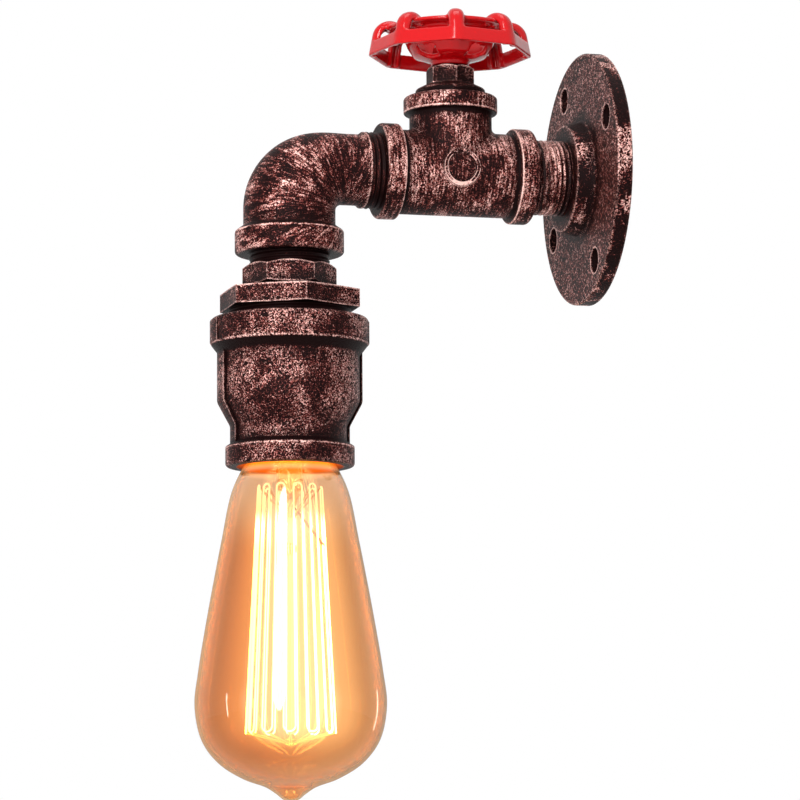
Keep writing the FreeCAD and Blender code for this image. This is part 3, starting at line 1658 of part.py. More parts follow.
for make in (
    wall_flange, flange_nipple, tee, valve_bonnet, gland_packing, packing_nut,
    switch_housing, switch_cap, switch_contacts, switch_rotor, valve_spindle,
    wheel_washer, wheel_screw, handwheel,
    street_elbow, hex_nipple, hex_bushing, reducer_coupling,
    lampholder_washer, lampholder_body, lampholder_shell, lampholder_contact,
    lampholder_terminals, lampholder_screws,
    supply_connector, connector_screws, wires,
    bulb_glass, bulb_screw_base, bulb_base_insulator, bulb_tip_contact, bulb_stem,
    bulb_centre_rod, bulb_filament, bulb_supports, bulb_lead_wires,
):
    make()
doc.recompute()

faults = [thing.Name for thing in doc.Objects if "Invalid" in thing.State or "Error" in thing.State]
for part in sub_parts:
    if part.Shape.isNull() or not part.Shape.isValid() or not part.Shape.Solids:
        faults.append(part.Label)
if faults:
    raise RuntimeError("not well made: " + ", ".join(faults))
os.makedirs("parts", exist_ok=True)
for part in sub_parts:
    part.Shape.exportStep("parts/%s.step" % part.Label)
print("%d sub-parts" % len(sub_parts))
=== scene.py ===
import math

import bmesh
import bpy
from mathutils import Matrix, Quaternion, Vector


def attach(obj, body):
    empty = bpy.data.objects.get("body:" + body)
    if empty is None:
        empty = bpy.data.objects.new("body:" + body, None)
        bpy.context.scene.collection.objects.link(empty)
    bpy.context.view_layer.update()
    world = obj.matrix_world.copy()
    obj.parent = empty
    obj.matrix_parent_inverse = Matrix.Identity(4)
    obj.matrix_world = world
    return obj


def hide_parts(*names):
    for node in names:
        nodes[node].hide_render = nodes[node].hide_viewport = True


# Wall light of pipe fittings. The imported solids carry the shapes. This script gives them their finish and
# adds the threads, the painted wheel, the blown glass, the bulb's cap and the light. Blender's lengths are
# metres; the values below are millimetres wherever that is said, in the frame of the solids.

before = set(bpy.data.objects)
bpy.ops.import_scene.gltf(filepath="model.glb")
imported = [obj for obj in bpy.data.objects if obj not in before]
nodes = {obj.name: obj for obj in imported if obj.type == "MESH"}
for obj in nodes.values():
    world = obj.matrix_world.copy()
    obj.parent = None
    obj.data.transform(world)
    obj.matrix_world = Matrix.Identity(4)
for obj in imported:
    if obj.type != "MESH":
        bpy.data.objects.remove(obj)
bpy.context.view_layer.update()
mm = 0.001


# Small tools

white = (1.0, 1.0, 1.0, 1.0)
smooth = {"interpolation_type": "SMOOTHSTEP"}  # for a Map Range that eases in and out


def linearColour(code):
    # "#rrggbb" as it is seen on a screen, turned to linear light
    channels = [int(code[i:i + 2], 16) / 255 for i in (1, 3, 5)]
    return tuple(c / 12.92 if c <= 0.04045 else ((c + 0.055) / 1.055) ** 2.4 for c in channels) + (1.0,)


def patternScale(sizeMm):
    # scale of a pattern whose grains are about that wide
    return 1.0 / (sizeMm * mm)


def addNode(tree, kind, values):
    # Adds a node with its settings and links. A key is one of the node's properties, or the name or number of
    # an input. A node or an output given as a value is linked, a node by its first output in use.
    node = tree.nodes.new("ShaderNode" + kind)
    for key, value in values.items():
        if isinstance(key, str) and hasattr(node, key):
            setattr(node, key, value)
            continue
        named = [socket for socket in node.inputs if socket.enabled and socket.name == key]
        socket = named[0] if named else node.inputs[key]
        if isinstance(value, bpy.types.Node):
            value = [output for output in value.outputs if output.enabled][0]
        if isinstance(value, bpy.types.NodeSocket):
            tree.links.new(value, socket)
        else:
            socket.default_value = value
    return node


def newMaterial(name):
    material = bpy.data.materials.new(name)
    material.use_nodes = True
    material.node_tree.nodes.clear()
    return material, material.node_tree


def finishNode(name, material):
    node = nodes[name]
    if not node.data.materials:
        node.data.materials.append(material)
    for slot in node.material_slots:
        slot.material = material


def aboutAxis(radius, turn, along, axis="Z"):
    # point at a share of a full turn round an axis; Y is the arm's axis, with its far end at the wall
    angle = 2 * math.pi * turn
    across, up = radius * math.cos(angle), radius * math.sin(angle)
    return Vector((across, along, -up)) if axis == "Y" else Vector((across, up, along))


def meshPiece(name, rings, material, body):
    # Closed skin through rings of points, from each ring to the next and from the last back to the first. A
    # ring of one point is a pole.
    points = []
    rows = []
    for ring in rings:
        rows.append(range(len(points), len(points) + len(ring)))
        points.extend(ring)
    columns = max(len(row) for row in rows)
    faces = []
    for upper, lower in zip(rows, rows[1:] + rows[:1]):
        for column in range(columns):
            after = (column + 1) % columns
            corners = (upper[column % len(upper)], upper[after % len(upper)],
                       lower[after % len(lower)], lower[column % len(lower)])
            face = list(dict.fromkeys(corners))
            if len(face) > 2:
                faces.append(face)
    mesh = bpy.data.meshes.new(name)
    mesh.from_pydata(points, [], faces)
    mesh.update()
    work = bmesh.new()
    work.from_mesh(mesh)
    bmesh.ops.recalc_face_normals(work, faces=work.faces)
    work.to_mesh(mesh)
    work.free()
    for face in mesh.polygons:
        face.use_smooth = True
    mesh.materials.append(material)
    piece = bpy.data.objects.new(name, mesh)
    bpy.context.scene.collection.objects.link(piece)
    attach(piece, body)
    return piece


# Camera, at the photograph's angle

view = {
    "azimuth": 75.10,
    "elevation": -7.07,
    "roll": -0.35,
    "place": (1.3264, -0.4270, -0.2592),
    "lensMm": 181.73,
    "sensorMm": 36.0,
    "shift": (0.0114, 0.0341),
    "nearClip": 0.05,
}


def makeCamera():
    turn = math.radians(view["azimuth"])
    rise = math.radians(view["elevation"])
    back = Vector((math.sin(turn) * math.cos(rise), -math.cos(turn) * math.cos(rise), math.sin(rise)))
    lens = bpy.data.cameras.new("photoCamera")
    lens.lens = view["lensMm"]
    lens.sensor_width = view["sensorMm"]
    lens.shift_x, lens.shift_y = view["shift"]
    lens.clip_start = view["nearClip"]
    camera = bpy.data.objects.new("photoCamera", lens)
    camera.location = view["place"]
    level = (-back).to_track_quat("-Z", "Y")
    camera.rotation_euler = (level @ Quaternion((0, 0, 1), math.radians(view["roll"]))).to_euler()
    bpy.context.scene.collection.objects.link(camera)
    bpy.context.scene.camera = camera


makeCamera()
print("camera set")


# Studio: pale floor, white surroundings, soft lamps

studio = {
    "floorColour": "#f4f4f4",
    "floorRoughness": 0.9,
    "floorLevel": -0.60,
    "floorHalf": 3.0,
    "floorGlow": 0.75,   # how far the floor is seen as plain white, over its own paint
    "skyLight": 0.3,
    "lamps": {
        # name: place, shape, width, height, watts
        "keyLamp": ((1.35, -0.80, 0.28), "ELLIPSE", 0.45, 1.6, 28.0),
        "leftStrip": ((-0.10, -1.25, -0.20), "RECTANGLE", 0.03, 0.40, 0.5),
        "rightStrip": ((-0.55, 1.15, -0.22), "RECTANGLE", 0.03, 0.50, 0.5),
        "topLamp": ((0.15, -0.1, 1.2), "RECTANGLE", 0.7, 0.7, 5.0),
    },
    "aim": (0.0, -0.08, -0.02),
}


def seenWhite(tree):
    # share of rays that see the surroundings as a plain white: camera, mirror and glass rays
    path = addNode(tree, "LightPath", {}).outputs
    seen = path["Is Camera Ray"]
    for kind in ("Is Glossy Ray", "Is Transmission Ray"):
        seen = addNode(tree, "Math", {"operation": "MAXIMUM", 0: seen, 1: path[kind]})
    return seen


def makeWorld():
    world = bpy.data.worlds.new("whiteStudio")
    world.use_nodes = True
    tree = world.node_tree
    tree.nodes.clear()
    soft = addNode(tree, "Background", {"Color": white, "Strength": studio["skyLight"]})
    plain = addNode(tree, "Background", {"Color": white, "Strength": 1.0})
    both = addNode(tree, "MixShader", {0: seenWhite(tree), 1: soft, 2: plain})
    addNode(tree, "OutputWorld", {"Surface": both})
    bpy.context.scene.world = world


def makeLamps():
    for name, (place, shape, width, height, watts) in studio["lamps"].items():
        lamp = bpy.data.lights.new(name, "AREA")
        lamp.shape = shape
        lamp.size = width
        lamp.size_y = height
        lamp.energy = watts
        holder = bpy.data.objects.new(name, lamp)
        holder.location = place
        holder.rotation_euler = (Vector(studio["aim"]) - Vector(place)).to_track_quat("-Z", "Y").to_euler()
        bpy.context.scene.collection.objects.link(holder)


def makeFloor():
    # Matt pale paint: nearly plain white to the eye, and it takes the light's shadow.
    material, tree = newMaterial("paleFloorPaint")
    paint = addNode(tree, "BsdfPrincipled", {
        "Base Color": linearColour(studio["floorColour"]),
        "Roughness": studio["floorRoughness"],
    })
    glow = addNode(tree, "Emission", {"Color": white, "Strength": 1.0})
    share = addNode(tree, "Math", {"operation": "MULTIPLY", 0: seenWhite(tree), 1: studio["floorGlow"]})
    both = addNode(tree, "MixShader", {0: share, 1: paint, 2: glow})
    addNode(tree, "OutputMaterial", {"Surface": both})
    half, level = studio["floorHalf"], studio["floorLevel"]
    corners = [(-half, -half, level), (half, -half, level), (half, half, level), (-half, half, level)]
    mesh = bpy.data.meshes.new("studioFloor")
    mesh.from_pydata(corners, [], [(0, 1, 2, 3)])
    mesh.materials.append(material)
    floor = bpy.data.objects.new("studioFloor", mesh)
    bpy.context.scene.collection.objects.link(floor)


makeWorld()
makeLamps()
makeFloor()
bpy.context.scene.view_settings.view_transform = "Standard"
print("studio set")


# Cast and turned iron with a black antique finish, rubbed back to copper

ironFinish = {
    "black": "#140606",
    "brown": "#3c1816",
    "darkCopper": "#6e3430",
    "copper": "#a8544c",
    # palest copper, on the most rubbed tops, brightened with a painted highlight
    "brightCopperHighlight": "#f6c9bf",
    "blackRoughness": 0.45,
    "copperRoughness": 0.35,
    "copperMetal": 0.3,     # the copper is a thin rubbed film, so it is only partly metallic
    "gloss": 0.05,
    "wormMm": 1.25,         # winding ridges of the casting's skin
    "wormWidth": 0.11,
    "wormShare": 0.30,
    "speckMm": 0.5,         # finest flecks of copper
    "speckShare": 0.75,
    "strokeMm": 0.8,        # width of a brush stroke
    "strokeSqueeze": 0.12,  # the pattern is drawn together this much along a stroke
    "bendCentreMm": (0.0, -90.8, -15.3),  # centre of the elbow's bend
    "bendRadiusMm": 17.0,   # radius of its middle line, roughly
    "cloudMm": 14.0,        # patches that were rubbed more
    "wearMm": 0.8,          # reach of the wear from an edge
    "edgeWear": 0.34,
    "cornerMm": 6.0,        # width of the inner corners kept dark, as painted shade and as black the cloth missed
    "cornerShade": 0.34,
    "shadeSamples": 6,
    # painted shade in a band's fillet, and a bright line of wear and painted highlight along its edge
    "filletShade": 0.3,
    "edgeLine": 0.16,
    "reliefMm": 0.25,
    "reliefStrength": 0.8,
    "firstCopper": 0.66,    # level of the pattern where copper starts on iron that wasn't rubbed
    "rubReach": 0.2,        # how far a full rub lowers that level
    # from the level where copper starts: where each layer begins and is whole
    "brownSpan": (-0.14, 0.01),
    "copperSpan": (0.0, 0.07),
    "topsSpan": (0.07, 0.15),
}

# orange glow painted on the mouth round the bulb's neck, standing in for the filament's light on it
litMouth = {
    "colour": "#e0560c",
    "axisYMm": -109.6,
    "radiusMm": 18.6,
    "softMm": 1.5,
    "darkAboveMm": -85.0,
    "fullBelowMm": -103.0,
}

irons = {
    # Finish: how the iron was rubbed, and the nodes that have it. A step is its axis, the place of its edge
    # in mm, the way from there to the fillet, and the fillet's width in mm; its edge gets a bright line of
    # wear and painted highlight, its fillet painted shade.
    "antiqueCastIron": ({"rub": 0.12}, ("valve_bonnet", "hex_bushing")),
    "antiqueCastIronLitMouth": (
        {"rub": 0.2, "lit": True, "steps": (("Z", -61.9, -1, 3.8), ("Z", -96.9, 1, 2.2))},
        ("reducer_coupling",)),
    "antiqueCastIronBrushedRound": (
        {"rub": 0.48, "edge": 0.9, "flow": "arm", "strokes": 0.3,
         "steps": (("Y", -30.9, -1, 1.5), ("Y", -71.7, 1, 1.5), ("Z", 21.3, -1, 2.2))},
        ("tee",)),
    "antiqueCastIronBrushedBend": (
        {"rub": 0.42, "edge": 0.7, "flow": "bend", "strokes": 0.35, "cloudy": 0.05,
         "steps": (("Z", -22.4, 1, 1.4),)},
        ("street_elbow",)),
    "antiqueTurnedIron": (
        {"rub": 0.28, "edge": 1.1, "relief": 0.6},
        ("flange_nipple", "hex_nipple", "packing_nut")),
    "antiqueFlangeIron": (
        {"rub": 0.2, "relief": 0.8, "coarse": 1.3, "cloudy": 0.02, "sidePatches": 0.14},
        ("wall_flange",)),
    "antiqueRingIron": ({"rub": -0.1, "edge": 0.3, "relief": 0.5}, ()),
}


def castingSkin(tree, place, coarse):
    # the tops of the casting's winding ridges, and fine flecks between them
    values = ironFinish
    winding = addNode(tree, "TexNoise", {
        "Vector": place,
        "Scale": patternScale(values["wormMm"] * coarse),
        "Detail": 2.0,
        "Roughness": 0.55,
        "Distortion": 1.4,
    })
    offMiddle = addNode(tree, "Math", {"operation": "SUBTRACT", 0: winding, 1: 0.5})
    offMiddle = addNode(tree, "Math", {"operation": "ABSOLUTE", 0: offMiddle})
    worms = addNode(tree, "MapRange", {
        **smooth, "Value": offMiddle, "From Min": values["wormWidth"], "From Max": 0.0})
    speck = addNode(tree, "TexNoise", {
        "Vector": place,
        "Scale": patternScale(values["speckMm"] * coarse),
        "Detail": 2.0,
        "Roughness": 0.6,
    })
    worms = addNode(tree, "Math", {"operation": "MULTIPLY", 0: worms, 1: values["wormShare"]})
    speck = addNode(tree, "Math", {"operation": "MULTIPLY", 0: speck, 1: values["speckShare"]})
    return addNode(tree, "Math", {"operation": "ADD", 0: worms, 1: speck})


def strokePlace(tree, place, flow):
    # Place with its way round the piece drawn together, so that a pattern on it runs as the brush went.
    squeeze = ironFinish["strokeSqueeze"]
    if flow == "arm":
        return addNode(tree, "Mapping", {"Vector": place, "Scale": (squeeze, 1.0, squeeze)})
    fromCentre = tuple(-c * mm for c in ironFinish["bendCentreMm"])
    moved = addNode(tree, "Mapping", {"Vector": place, "Location": fromCentre})
    parts = addNode(tree, "SeparateXYZ", {0: moved}).outputs
    turn = addNode(tree, "Math", {"operation": "ARCTAN2", 0: parts["Z"], 1: parts["Y"]})
    flat = addNode(tree, "Mapping", {"Vector": moved, "Scale": (0.0, 1.0, 1.0)})
    reach = addNode(tree, "VectorMath", {"operation": "LENGTH", 0: flat})
    bent = addNode(tree, "CombineXYZ", {0: parts["X"], 1: turn, 2: reach})
    return addNode(tree, "Mapping", {
        "Vector": bent, "Scale": (squeeze, ironFinish["bendRadiusMm"] * mm, squeeze)})


def brushedOver(tree, place, grain, flow, strokes):
    # the casting's skin with brush strokes over a share of it
    values = ironFinish
    brush = addNode(tree, "TexNoise", {
        "Vector": strokePlace(tree, place, flow),
        "Scale": patternScale(values["strokeMm"]),
        "Detail": 3.0,
        "Roughness": 0.7,
        "Distortion": 0.3,
    })
    brush = addNode(tree, "MapRange", {
        **smooth, "Value": brush, "From Min": 0.3, "From Max": 0.7, "To Min": 0.15, "To Max": 0.85})
    grain = addNode(tree, "Math", {"operation": "MULTIPLY", 0: grain, 1: 1.0 - strokes})
    brush = addNode(tree, "Math", {"operation": "MULTIPLY", 0: brush, 1: strokes})
    return addNode(tree, "Math", {"operation": "ADD", 0: grain, 1: brush})


def clothReach(tree, place, edge, cloudy, sidePatches):
    # where the cloth took more of the paint: along the edges and in wide soft patches
    values = ironFinish
    buried = addNode(tree, "AmbientOcclusion", {
        "samples": values["shadeSamples"], "inside": True, "Distance": values["wearMm"] * mm}).outputs["AO"]
    wear = addNode(tree, "MapRange", {
        **smooth, "Value": buried, "From Min": 0.95, "From Max": 0.6, "To Max": values["edgeWear"] * edge})
    cloud = addNode(tree, "TexNoise", {
        "Vector": place,
        "Scale": patternScale(values["cloudMm"]),
        "Detail": 2.0,
        "Roughness": 0.5,
        "Distortion": 0.6,
    })
    soft = addNode(tree, "MapRange", {
        **smooth, "Value": cloud, "From Min": 0.36, "From Max": 0.64, "To Min": -cloudy, "To Max": cloudy})
    reach = addNode(tree, "Math", {"operation": "ADD", 0: wear, 1: soft})
    if not sidePatches:
        return reach
    # the flange's rim and hub were rubbed in patches, its face evenly
    normal = addNode(tree, "NewGeometry", {}).outputs["Normal"]
    facing = addNode(tree, "SeparateXYZ", {0: normal}).outputs["Y"]
    facing = addNode(tree, "Math", {"operation": "ABSOLUTE", 0: facing})
    side = addNode(tree, "MapRange", {**smooth, "Value": facing, "From Min": 0.8, "From Max": 0.4})
    patches = addNode(tree, "MapRange", {
        **smooth, "Value": cloud, "From Min": 0.44, "From Max": 0.6,
        "To Min": -sidePatches, "To Max": sidePatches * 0.7})
    patches = addNode(tree, "Math", {"operation": "MULTIPLY", 0: side, 1: patches})
    return addNode(tree, "Math", {"operation": "ADD", 0: reach, 1: patches})


def cornerShade(tree):
    # less copper in the inner corners: painted shade, and the black the cloth didn't reach
    values = ironFinish
    free = addNode(tree, "AmbientOcclusion", {
        "samples": values["shadeSamples"], "Distance": values["cornerMm"] * mm}).outputs["AO"]
    return addNode(tree, "MapRange", {
        **smooth, "Value": free, "From Min": 0.66, "From Max": 0.985,
        "To Min": -values["cornerShade"], "To Max": 0.0})


def stepWearHighlightAndShade(tree, place, level, steps):
    # Bright line along the edge of each band, worn copper with a painted highlight, and painted shade in the
    # fillet beside it, where the black paint is also left whole.
    parts = addNode(tree, "SeparateXYZ", {0: place}).outputs
    for axis, edgeMm, way, filletMm in steps:
        beyond = addNode(tree, "Math", {"operation": "SUBTRACT", 0: parts[axis], 1: edgeMm * mm})
        beyondMm = addNode(tree, "Math", {"operation": "MULTIPLY", 0: beyond, 1: way / mm})
        near = addNode(tree, "MapRange", {**smooth, "Value": beyondMm, "From Min": 0.0, "From Max": 0.5})
        far = addNode(tree, "MapRange", {
            **smooth, "Value": beyondMm, "From Min": filletMm, "From Max": filletMm * 0.5,
            "To Max": -ironFinish["filletShade"]})
        fillet = addNode(tree, "Math", {"operation": "MULTIPLY", 0: near, 1: far})
        fromEdge = addNode(tree, "Math", {"operation": "ADD", 0: beyondMm, 1: 0.3})
        fromEdge = addNode(tree, "Math", {"operation": "ABSOLUTE", 0: fromEdge})
        line = addNode(tree, "MapRange", {
            **smooth, "Value": fromEdge, "From Min": 0.45, "From Max": 0.05,
            "To Max": ironFinish["edgeLine"]})
        level = addNode(tree, "Math", {"operation": "ADD", 0: level, 1: fillet})
        level = addNode(tree, "Math", {"operation": "ADD", 0: level, 1: line})
    return level


def paintedMouthGlow(tree, place):
    # painted glow of the filament's light on the inside of the mouth, fading upwards
    toAxis = (0.0, -litMouth["axisYMm"] * mm, 0.0)
    flat = addNode(tree, "Mapping", {"Vector": place, "Location": toAxis, "Scale": (1.0, 1.0, 0.0)})
    reach = addNode(tree, "VectorMath", {"operation": "LENGTH", 0: flat})
    inside = addNode(tree, "MapRange", {
        **smooth, "Value": reach, "From Min": litMouth["radiusMm"] * mm,
        "From Max": (litMouth["radiusMm"] - litMouth["softMm"]) * mm})
    height = addNode(tree, "SeparateXYZ", {0: place}).outputs["Z"]
    low = addNode(tree, "MapRange", {
        **smooth, "Value": height, "From Min": litMouth["darkAboveMm"] * mm,
        "From Max": litMouth["fullBelowMm"] * mm})
    return addNode(tree, "Math", {"operation": "MULTIPLY", 0: inside, 1: low})


def rubbedIron(name, rub, edge=1.0, relief=1.0, coarse=1.0, cloudy=0.07, flow=None, strokes=0.0, steps=(),
               sidePatches=0.0, dull=False, lit=False):
    # Antique-finished iron: near black and slightly glossy, with copper red where the cloth rubbed through,
    # on the winding tops of the casting's skin and along every edge. It reads as warm, worn metal. Its palest
    # copper carries a painted highlight, its inner corners and fillets painted shade, and the coupling's
    # mouth a painted glow.
    values = ironFinish
    material, tree = newMaterial(name)
    place = addNode(tree, "TexCoord", {}).outputs["Object"]  # on the piece, so the pattern moves with it
    grain = castingSkin(tree, place, coarse)
    if flow:
        grain = brushedOver(tree, place, grain, flow, strokes)
    reach = clothReach(tree, place, edge, cloudy, sidePatches)
    level = addNode(tree, "Math", {"operation": "ADD", 0: grain, 1: reach})
    level = addNode(tree, "Math", {"operation": "ADD", 0: level, 1: cornerShade(tree)})
    level = stepWearHighlightAndShade(tree, place, level, steps)
    start = values["firstCopper"] - values["rubReach"] * rub
    shares = {}
    for layer in ("brown", "copper", "tops"):
        low, high = values[layer + "Span"]
        shares[layer] = addNode(tree, "MapRange", {
            **smooth, "Value": level, "From Min": start + low, "From Max": start + high})
    colour = linearColour(values["black"])
    layers = (("brown", "brown"), ("copper", "darkCopper" if dull else "copper"),
              ("tops", "copper" if dull else "brightCopperHighlight"))
    for layer, colourName in layers:
        colour = addNode(tree, "Mix", {
            "data_type": "RGBA", "Factor": shares[layer], "A": colour, "B": linearColour(values[colourName])})
    surface = {
        "Base Color": colour,
        "Metallic": addNode(tree, "Math", {
            "operation": "MULTIPLY", 0: shares["copper"], 1: values["copperMetal"]}),
        "Roughness": addNode(tree, "MapRange", {
            "Value": shares["copper"],
            "To Min": values["blackRoughness"], "To Max": values["copperRoughness"]}),
        "Normal": addNode(tree, "Bump", {
            "Height": level,
            "Distance": values["reliefMm"] * relief * mm, "Strength": values["reliefStrength"]}),
        "Specular IOR Level": values["gloss"],
    }
    if lit:
        surface["Emission Color"] = linearColour(litMouth["colour"])
        surface["Emission Strength"] = paintedMouthGlow(tree, place)
    addNode(tree, "OutputMaterial", {"Surface": addNode(tree, "BsdfPrincipled", surface)})
    return material


for name, (settings, members) in irons.items():
    material = rubbedIron(name, **settings)
    for member in members:
        finishNode(member, material)
print("iron finished")


# Pipe threads that show between the fittings

threads = {
    "pitchMm": 1.81,
    "flank": 0.42,       # half-width of a ridge at its foot, as a share of the pitch
    "overrun": 1.15,     # the flanks are cut off by the crest at this share of their height
    "sleeveMm": 0.6,     # a run is a sleeve of this wall under the thread's root
    "columns": 120,
    "rowsPerPitch": 10,
    "leastRows": 4,
    "iron": {"edge": 0.3, "relief": 0.3, "flow": "arm", "strokes": 0.35},
    "runs": {
        # Name: axis, place of the start, length, root radius and crest radius in mm, how much it was rubbed.
        # Each run has its own finish, and one below zero is dull all over.
        "armThread": ("Y", (0, -24.2, 0), 12.4, 12.82, 13.1, 0.5),
        "elbowThread": ("Y", (0, -83.4, 0), 5.0, 12.82, 13.3, -0.4),
        "nippleUpperThread": ("Z", (0, -109.6, -34.3), 4.0, 13.32, 13.85, -0.2),
        "nippleLowerThread": ("Z", (0, -109.6, -43.4), 2.1, 13.32, 13.7, -0.2),
        "bushingThread": ("Z", (0, -109.6, -52.9), 3.5, 20.52, 21.1, -0.3),
    },
}


def threadRings(axis, place, length, root, crest):
    columns = threads["columns"]
    rows = max(threads["leastRows"], round(length / threads["pitchMm"] * threads["rowsPerPitch"]))
    rings = []
    for row in range(rows + 1):
        along = length * row / rows
        ring = []
        for column in range(columns):
            turn = column / columns
            phase = (along / threads["pitchMm"] - turn) % 1.0
            ridge = max(0.0, 1.0 - abs(phase - 0.5) / threads["flank"])
            radius = root + (crest - root) * min(1.0, ridge * threads["overrun"])
            ring.append((aboutAxis(radius, turn, along, axis) + Vector(place)) * mm)
        rings.append(ring)
    bore = root - threads["sleeveMm"]
    for along in (length, 0.0):
        rings.append([(aboutAxis(bore, column / columns, along, axis) + Vector(place)) * mm
                      for column in range(columns)])
    return rings


def makeThreads():
    for name, (axis, place, length, root, crest, rub) in threads["runs"].items():
        finishName = "antiqueIron" + name[0].upper() + name[1:]
        iron = rubbedIron(finishName, rub, dull=rub < 0, **threads["iron"])
        meshPiece(name, threadRings(axis, place, length, root, crest), iron, "lamp")


makeThreads()
print("threads cut")


# Raised ring on the side of the tee, whole where the port's root runs under it

castRing = {
    "radiusMm": 5.8,
    "widthMm": 1.25,
    "heightMm": 0.58,
    "centreYMm": -52.0,
    "centreZMm": 0.0,
    "outsideMm": 60.0,   # the skin is looked for from this far out
    "beside": 1.1,       # and at this many widths to each side of the ring
    "steps": 96,
    # across its width and up its height, from its foot inside round to its foot outside
    "section": ((-0.5, -0.5), (-0.5, 0.55), (-0.28, 1.0), (0.28, 1.0), (0.5, 0.55), (0.5, -0.5)),
}


def onRing(level, turn, radius):
    across, up = radius * math.cos(turn), radius * math.sin(turn)
    return Vector((level, castRing["centreYMm"] + across, castRing["centreZMm"] + up)) * mm


def teeSkin(turn, radius):
    # how far out the tee's side lies there, in mm
    tee = nodes["tee"]
    toTee = tee.matrix_world.inverted()
    inwards = toTee.to_3x3() @ Vector((-1, 0, 0))
    place = tee.ray_cast(toTee @ onRing(castRing["outsideMm"], turn, radius), inwards)[1]
    return (tee.matrix_world @ place).x / mm


def makeCastRing():
    # follows the skin of the tee beside it, inside and outside
    width, beside = castRing["widthMm"], castRing["beside"]
    rings = []
    for step in range(castRing["steps"]):
        turn = 2 * math.pi * step / castRing["steps"]
        within = teeSkin(turn, castRing["radiusMm"] - beside * width)
        without = teeSkin(turn, castRing["radiusMm"] + beside * width)
        ring = []
        for across, up in castRing["section"]:
            ground = within + (without - within) * (0.5 + across / (2 * beside))
            level = ground + up * castRing["heightMm"]
            ring.append(onRing(level, turn, castRing["radiusMm"] + across * width))
        rings.append(ring)
    meshPiece("castRing", rings, bpy.data.materials["antiqueRingIron"], "lamp")


makeCastRing()
print("ring cast")


# Handwheel: glossy red enamel on pressed sheet

redEnamel = {
    "red": "#c4080f",
    "shadedRed": "#6c0206",
    "shadedCornerMm": 5.0,     # width of the corners darkened to a deeper red as painted shade
    "shadeSamples": 4,
    "roughness": 0.15,
    "ior": 1.5,
    "gloss": 0.3,
    "rippleMm": 4.0,
    "rippleDepthMm": 0.2,
    "rippleStrength": 0.5,
    "coatMm": 0.4,       # fineness of the thick coat's skin
    "flow": 0.5,
    "flowPasses": 8,
}


def enamelPaint():
    # Sprayed enamel: deep even red with a hard gloss that shows the lamps, and slight ripples of thick paint.
    # Its corners are darkened to a deeper red as painted shade.
    values = redEnamel
    material, tree = newMaterial("redSprayedEnamel")
    free = addNode(tree, "AmbientOcclusion", {
        "samples": values["shadeSamples"], "Distance": values["shadedCornerMm"] * mm}).outputs["AO"]
    share = addNode(tree, "MapRange", {**smooth, "Value": free, "From Min": 0.35, "From Max": 0.85})
    colour = addNode(tree, "Mix", {
        "data_type": "RGBA", "Factor": share,
        "A": linearColour(values["shadedRed"]), "B": linearColour(values["red"])})
    ripples = addNode(tree, "TexNoise", {
        "Vector": addNode(tree, "TexCoord", {}).outputs["Object"],
        "Scale": patternScale(values["rippleMm"]),
        "Detail": 2.0,
        "Roughness": 0.5,
    })
    relief = addNode(tree, "Bump", {
        "Height": ripples, "Distance": values["rippleDepthMm"] * mm, "Strength": values["rippleStrength"]})
    shader = addNode(tree, "BsdfPrincipled", {
        "Base Color": colour,
        "Normal": relief,
        "Roughness": values["roughness"],
        "IOR": values["ior"],
        "Specular IOR Level": values["gloss"],
    })
    addNode(tree, "OutputMaterial", {"Surface": shader})
    return material


def paintWheel():
    # The pressed wheel under a thick coat: its sheet edges and corners rounded as the paint rounds them.
    pressed = nodes["handwheel"]
    wheel = pressed.copy()
    wheel.data = pressed.data.copy()
    wheel.name = "coatedHandwheel"
    bpy.context.scene.collection.objects.link(wheel)
    coat = wheel.modifiers.new("coat", "REMESH")
    coat.mode = "VOXEL"
    coat.voxel_size = redEnamel["coatMm"] * mm
    flow = wheel.modifiers.new("flow", "SMOOTH")
    flow.factor = redEnamel["flow"]
    flow.iterations = redEnamel["flowPasses"]
    bpy.context.view_layer.update()
    settled = wheel.evaluated_get(bpy.context.evaluated_depsgraph_get())
    mesh = bpy.data.meshes.new_from_object(settled)
    wheel.modifiers.clear()
    wheel.data = mesh
    mesh.materials.clear()
    mesh.materials.append(enamelPaint())
    for face in mesh.polygons:
        face.use_smooth = True
    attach(wheel, "wheel")
    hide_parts("handwheel")


paintWheel()
print("handwheel painted")


# Plain metals, fibre, plastics and porcelain

